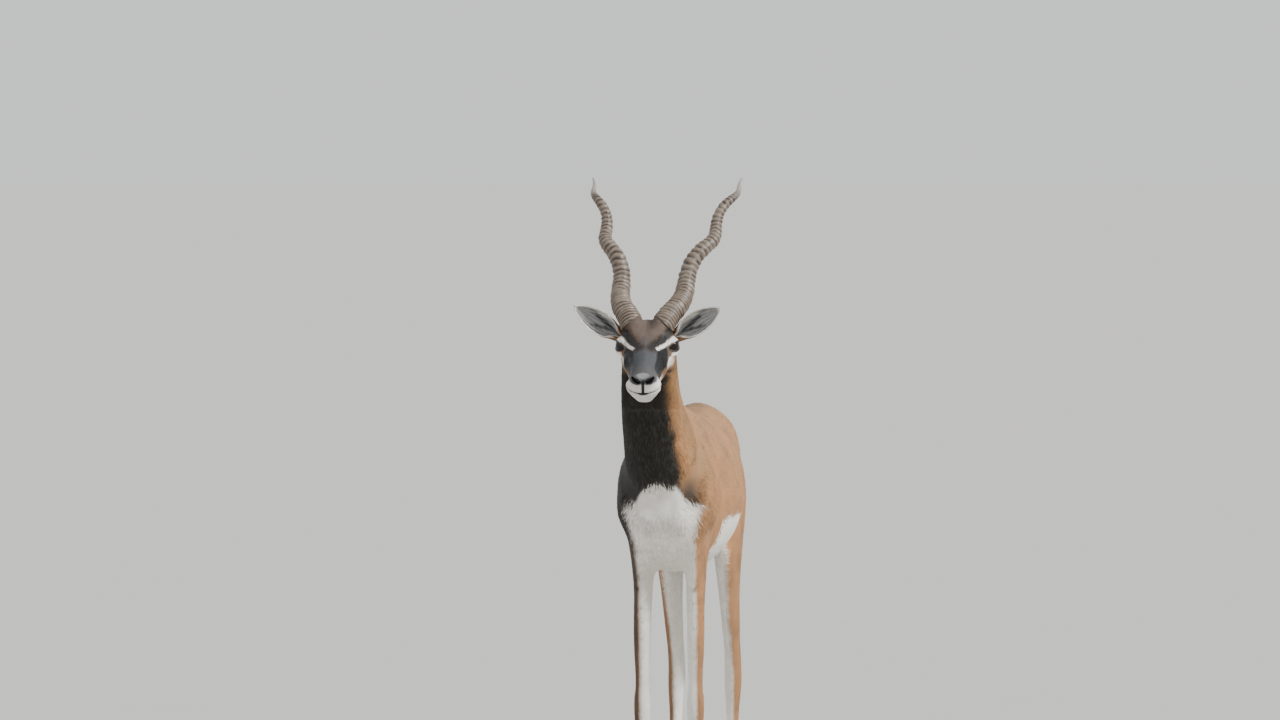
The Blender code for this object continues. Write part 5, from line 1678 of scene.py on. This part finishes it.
# Finishes: the kinds of node, and the settings for mixing two colours or tinting one
MIX, NOISE, RANGE, MARK, MATH, BUMP, MAPPING = (
    "ShaderNode" + kind
    for kind in ("Mix", "TexNoise", "MapRange", "Attribute", "Math", "Bump", "Mapping")
)
BLEND = {"data_type": "RGBA", "output": 2}
TINT = {**BLEND, "blend_type": "MULTIPLY"}
SWELLS = {"Detail": 3.0, "Roughness": 0.6}
COAT_LAYERS = {"warm": "rust", "dark": "dark", "grey": "grey", "pale": "pale", "black": "black"}

# Real sizes of the patterns in metres
COAT_PATCH = 0.035
COAT_GLEAM = 0.004
PORE = 0.0008
# Single hairs are 0.1 mm wide; they are drawn 0.6 mm wide, two to a swell, so that they show
HAIR_PAIR = 0.0012
HORN_FIBRE = 0.0030
HORN_DUST = 0.020
HOOF_RING = 0.0016
HOOF_GRIT = 0.003
FLOOR_MOTTLE = 0.6
IRIS_RAYS = 34.0


def linear(colour):
    """An sRGB hex colour as linear red, green, blue and full alpha."""
    parts = [int(colour[i : i + 2], 16) / 255 for i in (1, 3, 5)]
    return (*(p / 12.92 if p <= 0.04045 else ((p + 0.055) / 1.055) ** 2.4 for p in parts), 1.0)


def connect(tree, node, sockets):
    """Gives each socket of a node its value, or its link from another node's output."""
    for socket, value in sockets.items():
        if isinstance(value, bpy.types.NodeSocket):
            tree.links.new(value, node.inputs[socket])
        else:
            node.inputs[socket].default_value = value


def add(tree, kind, sockets, output=0, **settings):
    """Adds a node with its settings and links, and gives back one of its outputs."""
    node = tree.nodes.new(kind)
    for name, value in settings.items():
        setattr(node, name, value)
    connect(tree, node, sockets)
    return node.outputs[output]


def blank_material(name):
    """A new material, its node tree, and the place on the object that its patterns start from."""
    material = bpy.data.materials.new(name)
    material.use_nodes = True
    tree = material.node_tree
    return material, tree, add(tree, "ShaderNodeTexCoord", {}, "Object")


def finish(material, sockets):
    """Gives the material's own shader its sockets."""
    connect(material.node_tree, material.node_tree.nodes["Principled BSDF"], sockets)
    return material


def coat_colour(tree, place, colours):
    """The colour of the coat at a place, mixed by the marks that skin and tufts both carry."""
    colour = colours["brown"]
    for mark, layer in COAT_LAYERS.items():
        share = add(tree, MARK, {}, "Fac", attribute_name=mark)
        colour = add(tree, MIX, {0: share, 6: colour, 7: colours[layer]}, **BLEND)
    patches = add(tree, NOISE, {"Vector": place, "Scale": 1 / COAT_PATCH, **SWELLS})
    patches = add(tree, RANGE, {0: patches, 3: 0.80, 4: 1.22})
    return add(tree, MIX, {0: 1.0, 6: colour, 7: patches}, **TINT)


def hair_material(colours):
    """Guard hair, grown and lying flat: a soft broken gleam over lighter and darker hairs."""
    material, tree, place = blank_material("Guard_hair_grown")
    colour = coat_colour(tree, place, colours)
    # Each tuft's tint differs at random; darker at its root is painted shade, lighter at its tip
    for mark, low, high in (("tint", 0.78, 1.20), ("tip", 0.93, 1.12)):
        share = add(tree, MARK, {}, "Fac", attribute_name=mark)
        share = add(tree, RANGE, {0: share, 3: low, 4: high})
        colour = add(tree, MIX, {0: 1.0, 6: colour, 7: share}, **TINT)
    gleam = add(tree, NOISE, {"Vector": place, "Scale": 1 / COAT_GLEAM, **SWELLS})
    rough = add(tree, RANGE, {0: gleam, 3: 0.46, 4: 0.66})
    sheen = {"Specular IOR Level": 0.10, "Sheen Weight": 0.02, "Sheen Roughness": 0.45}
    return finish(material, {"Base Color": colour, "Roughness": rough, **sheen})


def skin_material(colours):
    """Haired hide, tanned over a form: matt, with hair too short for tufts as fine bump."""
    material, tree, place = blank_material("Haired_hide_tanned")
    colour = coat_colour(tree, place, colours)
    drawn_out = add(tree, MAPPING, {0: place, 3: (1.0, 1.0, 0.35)})
    hairs = {"Vector": drawn_out, "Scale": 1 / HAIR_PAIR, "Detail": 4.0, "Roughness": 0.6}
    hairs = add(tree, NOISE, hairs)
    shade = add(tree, RANGE, {0: hairs, 3: 0.70, 4: 1.15})
    colour = add(tree, MIX, {0: 1.0, 6: colour, 7: shade}, **TINT)
    pores = {"Vector": place, "Scale": 1 / PORE, "Detail": 2.0, "Roughness": 0.6}
    height = add(tree, MATH, {0: hairs, 1: add(tree, NOISE, pores)}, operation="ADD")
    bump = add(tree, BUMP, {"Height": height, "Strength": 0.35, "Distance": 0.0006})
    bare = add(tree, MARK, {}, "Fac", attribute_name="black")
    matt, moist = (0.72, 0.72, 0.72, 1), (0.34, 0.34, 0.34, 1)
    rough = add(tree, MIX, {0: bare, 6: matt, 7: moist}, **BLEND)
    sockets = {"Base Color": colour, "Roughness": rough, "Normal": bump}
    return finish(material, {**sockets, "Specular IOR Level": 0.40})


def horn_material(colours):
    """Horn keratin, grown in rings: dusty brown ridges over dark grooves, a worn pale tip."""
    material, tree, place = blank_material("Horn_keratin_grown")
    ridge, share = (add(tree, MARK, {}, "Fac", attribute_name=n) for n in ("ridge", "share"))
    ridge = add(tree, RANGE, {0: ridge, 1: 0.10, 2: 0.62})
    colour = add(tree, MIX, {0: ridge, 6: colours["groove"], 7: colours["horn"]}, **BLEND)
    along = add(tree, MAPPING, {0: place, 3: (1.0, 1.0, 0.16)})
    fibres = {"Vector": along, "Scale": 1 / HORN_FIBRE, "Detail": 4.0, "Roughness": 0.6}
    fibres = add(tree, NOISE, fibres)
    streaks = add(tree, RANGE, {0: fibres, 3: 0.62, 4: 1.38})
    colour = add(tree, MIX, {0: 1.0, 6: colour, 7: streaks}, **TINT)
    dust = add(tree, NOISE, {"Vector": place, "Scale": 1 / HORN_DUST, **SWELLS})
    dust = add(tree, RANGE, {0: dust, 1: 0.45, 2: 0.70})
    dust = add(tree, RANGE, {0: dust, 3: 0.0, 4: 0.45})
    colour = add(tree, MIX, {0: dust, 6: colour, 7: colours["dust"]}, **BLEND)
    tip = add(tree, RANGE, {0: share, 1: 0.84, 2: 0.93})
    colour = add(tree, MIX, {0: tip, 6: colour, 7: colours["tip"]}, **BLEND)
    rough = add(tree, RANGE, {0: fibres, 3: 0.34, 4: 0.60})
    bump = add(tree, BUMP, {"Height": fibres, "Strength": 0.5, "Distance": 0.0006})
    sockets = {"Base Color": colour, "Roughness": rough, "Normal": bump, "IOR": 1.55}
    return finish(material, sockets)


def eye_material(colours):
    """Glass taxidermy eye, cast and polished: a wet dark gleam over a brown iris."""
    material, tree, _ = blank_material("Eye_glass_polished")
    ray, iris, pupil = (
        add(tree, MARK, {}, "Fac", attribute_name=name) for name in ("ray", "iris", "pupil")
    )
    rays = add(tree, MATH, {0: ray, 1: IRIS_RAYS}, operation="MULTIPLY")
    rays = add(tree, MATH, {0: rays}, operation="SINE")
    flecks = add(tree, RANGE, {0: rays, 1: -1.0, 3: 0.75, 4: 1.2})
    brown = add(tree, MIX, {0: 1.0, 6: colours["iris"], 7: flecks}, **TINT)
    colour = add(tree, MIX, {0: iris, 6: colours["sclera"], 7: brown}, **BLEND)
    colour = add(tree, MIX, {0: pupil, 6: colour, 7: colours["pupil"]}, **BLEND)
    return finish(material, {"Base Color": colour, "Roughness": 0.04, "IOR": 1.38})


def hoof_material(colours):
    """Hoof keratin, grown and worn: near black, with fine level rings and a scuffed lower edge."""
    material, tree, place = blank_material("Hoof_keratin_worn")
    level = add(tree, MAPPING, {0: place, 3: (0.14, 0.14, 1.0)})
    rings = add(tree, NOISE, {"Vector": level, "Scale": 1 / HOOF_RING, **SWELLS})
    colour = add(tree, MIX, {0: rings, 6: colours["hoof"], 7: colours["hoof_light"]}, **BLEND)
    scuff = add(tree, MARK, {}, "Fac", attribute_name="share")
    scuff = add(tree, RANGE, {0: scuff, 1: 0.82, 2: 1.0})
    grit = add(tree, NOISE, {"Vector": place, "Scale": 1 / HOOF_GRIT, **SWELLS})
    grit = add(tree, MATH, {0: scuff, 1: grit}, operation="MULTIPLY")
    colour = add(tree, MIX, {0: grit, 6: colour, 7: colours["dust"]}, **BLEND)
    rough = add(tree, RANGE, {0: rings, 3: 0.45, 4: 0.68})
    bump = add(tree, BUMP, {"Height": rings, "Strength": 0.4, "Distance": 0.0004})
    sockets = {"Base Color": colour, "Roughness": rough, "Normal": bump, "IOR": 1.55}
    return finish(material, sockets)


def floor_material(colours):
    """Studio floor, painted board: flat and pale, with a trace of mottle to read as real."""
    material, tree, place = blank_material("Floor_board_painted")
    mottle = add(tree, NOISE, {"Vector": place, "Scale": 1 / FLOOR_MOTTLE, **SWELLS})
    mottle = add(tree, RANGE, {0: mottle, 3: 0.985, 4: 1.015})
    colour = add(tree, MIX, {0: 1.0, 6: colours["floor"], 7: mottle}, **TINT)
    matt = {"Roughness": 0.95, "Specular IOR Level": 0.0}
    return finish(material, {"Base Color": colour, **matt})


# Colours that the coat, horns, eyes, claws and floor start from
HEX = {
    "brown": "#96734f",
    "rust": "#ab7a4e",
    "dark": "#26241f",
    "grey": "#5a6168",
    "pale": "#e9e4da",
    "black": "#0e0f11",
    "horn": "#716050",
    "groove": "#2a211b",
    "dust": "#8f8676",
    "tip": "#8f8a82",
    "iris": "#1c0f08",
    "sclera": "#120d0a",
    "pupil": "#020202",
    "hoof": "#1b1918",
    "hoof_light": "#34302d",
    "floor": "#bab9b6",
    "air": "#dedfe1",
}
MADE = {}
LEG_NODES = ("forearm_", "shank_", "cannon_", "pastern_")
EYE_HORN_CLAW = ("horn", "groove", "dust", "tip", "iris", "sclera", "pupil", "hoof", "hoof_light")

CAMERA_TURN = math.radians(6.5)
CAMERA_RISE = math.radians(0.6)
CAMERA_AWAY = 40.0
CAMERA_LENS = 654.8
CAMERA_ASIDE = -0.0515
CAMERA_LEVEL = 0.852
CAMERA_SENSOR = 36.0
CAMERA_FARTHEST = 2000.0
FLOOR_RADIUS = 400.0
LIGHT_AWAY = 3
# Soft sun lamps: name, direction, share of the key light's strength, spread in degrees
LIGHTS = (
    ("key_light", (0.92, -0.30, 0.76), 1.0, 18),
    ("fill_light", (-0.85, -0.75, 0.45), 0.07, 60),
)


def colour_property(name, label, about):
    """A colour that the panel can change, starting from the one in HEX."""
    start = linear(HEX[name])[:3]
    return FloatVectorProperty(
        name=label, description=about, subtype="COLOR", size=3, min=0, max=1, default=start
    )


class CoatSettings(bpy.types.PropertyGroup):
    """Colours and length of the coat"""

    brown: colour_property("brown", "Brown", "Back and the sides of the neck")
    rust: colour_property("rust", "Rust", "Shoulders, flanks and haunches")
    # The dark colour also lays the painted shade on the right neck, shoulder and legs
    dark: colour_property("dark", "Dark", "Front of the neck, shoulder and face bands")
    grey: colour_property("grey", "Grey", "Nose bridge and the inside of the ears")
    pale: colour_property("pale", "Pale", "Brows, chin, chest, belly and inner legs")
    black: colour_property("black", "Black", "Nostrils, lid rims and ear lines")
    length: FloatProperty(
        name="Length",
        description="Length of the coat as a share of its natural length",
        default=1.0,
        min=0.3,
        max=1.3,
        subtype="FACTOR",
    )
    seed: IntProperty(name="Seed", description="Start of the random draws", default=7, min=0)


class HornSettings(bpy.types.PropertyGroup):
    """Colours of the horns, eyes and claws"""

    horn: colour_property("horn", "Ridges", "Raised rings of the horns")
    groove: colour_property("groove", "Grooves", "Between the rings of the horns")
    dust: colour_property("dust", "Dust", "Dry dust on horns and claws")
    tip: colour_property("tip", "Tip", "Smooth worn end of the horns")
    iris: colour_property("iris", "Iris", "Iris of the eyes")
    sclera: colour_property("sclera", "Eye", "Rest of the eyes")
    pupil: colour_property("pupil", "Pupil", "Pupil of the eyes")
    hoof: colour_property("hoof", "Claw", "Body of the claws")
    hoof_light: colour_property("hoof_light", "Claw rings", "Lighter rings of the claws")


class StageSettings(bpy.types.PropertyGroup):
    """Floor, air and light"""

    floor: colour_property("floor", "Floor", "Painted studio floor")
    air: colour_property("air", "Air", "Light from all around")
    air_strength: FloatProperty(
        name="Air strength", description="Strength of the light from all around", default=1.2, min=0
    )
    key_strength: FloatProperty(
        name="Key strength", description="Strength of the soft key light", default=4.6, min=0
    )


def settings_colours(settings, names):
    """The colours of a group of settings, with full alpha, by name."""
    return {name: (*getattr(settings, name), 1.0) for name in names}


def coat_colours(scene):
    """The colours of the coat's settings."""
    return settings_colours(scene.blackbuck_coat, ("brown", *COAT_LAYERS.values()))


def horn_colours(scene):
    """The colours of the settings for horns, eyes and claws."""
    return settings_colours(scene.blackbuck_horn, EYE_HORN_CLAW)


def finished(piece, material, nodes=()):
    """Puts a piece in place in the frame, on the body, with its finish."""
    piece.data.transform(Matrix.Translation(frame_shift()))
    piece.data.materials.clear()
    piece.data.materials.append(material)
    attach(piece, "root")
    if nodes:
        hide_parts(*nodes)


class BLACKBUCK_OT_skin(bpy.types.Operator):
    """Makes one skin over all the flesh"""

    bl_idname = "blackbuck.skin"
    bl_label = "Skin"

    def execute(self, context):
        skin, part, along = make_skin()
        MADE.update(skin=skin, part=part, along=along)
        return {"FINISHED"}


class BLACKBUCK_OT_coat(bpy.types.Operator):
    """Makes the coat's tufts over the skin, then puts both in place"""

    bl_idname = "blackbuck.coat"
    bl_label = "Coat"

    def execute(self, context):
        settings = context.scene.blackbuck_coat
        colours = coat_colours(context.scene)
        hair, hide = hair_material(colours), skin_material(colours)
        skin = MADE["skin"]
        pieces = make_coat(skin, MADE["part"], MADE["along"], settings.length, settings.seed)
        for piece in pieces:
            finished(piece, hair)
        legs = [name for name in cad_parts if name.startswith(LEG_NODES)]
        finished(skin, hide, FLESH_NODES + sorted(legs))
        return {"FINISHED"}


class BLACKBUCK_OT_horns(bpy.types.Operator):
    """Makes both horns with their rings"""

    bl_idname = "blackbuck.horns"
    bl_label = "Horns"

    def execute(self, context):
        material = horn_material(horn_colours(context.scene))
        for side, word in SIDES.items():
            finished(horn_piece(side), material, ["horn_" + word])
        return {"FINISHED"}


class BLACKBUCK_OT_eyes(bpy.types.Operator):
    """Makes both eyes"""

    bl_idname = "blackbuck.eyes"
    bl_label = "Eyes"

    def execute(self, context):
        material = eye_material(horn_colours(context.scene))
        for side, word in SIDES.items():
            finished(eye_piece(side), material, ["eye_" + word])
        return {"FINISHED"}


class BLACKBUCK_OT_claws(bpy.types.Operator):
    """Makes the eight claws"""

    bl_idname = "blackbuck.claws"
    bl_label = "Claws"

    def execute(self, context):
        material = hoof_material(horn_colours(context.scene))
        for foot in LEGS:
            for place in SIDES:
                piece, node = claw_piece(foot, place)
                finished(piece, material, [node])
        return {"FINISHED"}


class BLACKBUCK_OT_stage(bpy.types.Operator):
    """Makes the floor, the light and the camera"""

    bl_idname = "blackbuck.stage"
    bl_label = "Stage"

    def execute(self, context):
        settings = context.scene.blackbuck_stage
        colours = settings_colours(settings, ("floor", "air"))
        shape = bmesh.new()
        bmesh.ops.create_circle(shape, cap_ends=True, segments=96, radius=FLOOR_RADIUS)
        floor = placed("studio_floor", shape)
        floor.data.materials.append(floor_material(colours))
        world = bpy.data.worlds.new("Studio_air")
        world.use_nodes = True
        air = world.node_tree.nodes["Background"]
        air.inputs["Color"].default_value = colours["air"]
        air.inputs["Strength"].default_value = settings.air_strength
        context.scene.world = world
        for name, towards, share, spread in LIGHTS:
            add_light(name, towards, settings.key_strength * share, spread)
        add_camera(context.scene)
        return {"FINISHED"}


def add_light(name, towards, strength, spread):
    """A wide soft light from a direction."""
    light = bpy.data.lights.new(name, "SUN")
    light.energy = strength
    light.angle = math.radians(spread)
    lamp = bpy.data.objects.new(name, light)
    lamp.location = Vector(towards) * LIGHT_AWAY
    lamp.rotation_euler = Vector(towards).to_track_quat("Z", "Y").to_euler()
    bpy.context.scene.collection.objects.link(lamp)


def add_camera(scene):
    """The camera at the photograph's angle and framing."""
    turn, rise = CAMERA_TURN, CAMERA_RISE
    right = Vector((math.cos(turn), math.sin(turn), 0.0))
    back = Vector(
        (math.sin(turn) * math.cos(rise), -math.cos(turn) * math.cos(rise), math.sin(rise))
    )
    origin = frame_shift()
    target = Vector((origin.x, origin.y, CAMERA_LEVEL)) + right * CAMERA_ASIDE
    lens = bpy.data.cameras.new("camera")
    lens.lens = CAMERA_LENS
    lens.sensor_width = CAMERA_SENSOR
    lens.clip_end = CAMERA_FARTHEST
    camera = bpy.data.objects.new("camera", lens)
    camera.location = target + back * CAMERA_AWAY
    camera.rotation_euler = back.to_track_quat("Z", "Y").to_euler()
    scene.collection.objects.link(camera)
    scene.camera = camera


class BLACKBUCK_PT_panel(bpy.types.Panel):
    """Builds the model piece by piece"""

    bl_idname = "BLACKBUCK_PT_panel"
    bl_label = "Blackbuck"
    bl_space_type = "VIEW_3D"
    bl_region_type = "UI"
    bl_category = "Blackbuck"

    def draw(self, context):
        for step in STEPS:
            self.layout.operator(step.bl_idname)
        for name in SETTINGS:
            group = getattr(context.scene, name)
            box = self.layout.box()
            for key in group.__annotations__:
                box.prop(group, key)


STEPS = (
    BLACKBUCK_OT_skin,
    BLACKBUCK_OT_coat,
    BLACKBUCK_OT_horns,
    BLACKBUCK_OT_eyes,
    BLACKBUCK_OT_claws,
    BLACKBUCK_OT_stage,
)
SETTINGS = {
    "blackbuck_coat": CoatSettings,
    "blackbuck_horn": HornSettings,
    "blackbuck_stage": StageSettings,
}


def register():
    """Adds the settings, the operators and the panel to Blender."""
    for kind in (*SETTINGS.values(), *STEPS, BLACKBUCK_PT_panel):
        bpy.utils.register_class(kind)
    for name, kind in SETTINGS.items():
        setattr(bpy.types.Scene, name, PointerProperty(type=kind))


def unregister():
    """Takes the settings, the operators and the panel out of Blender."""
    for name in SETTINGS:
        delattr(bpy.types.Scene, name)
    for kind in (BLACKBUCK_PT_panel, *reversed(STEPS), *SETTINGS.values()):
        bpy.utils.unregister_class(kind)


def main():
    """Builds every piece and the stage."""
    register()
    for step in STEPS:
        area, name = step.bl_idname.split(".")
        getattr(getattr(bpy.ops, area), name)()


if __name__ == "__main__":
    main()
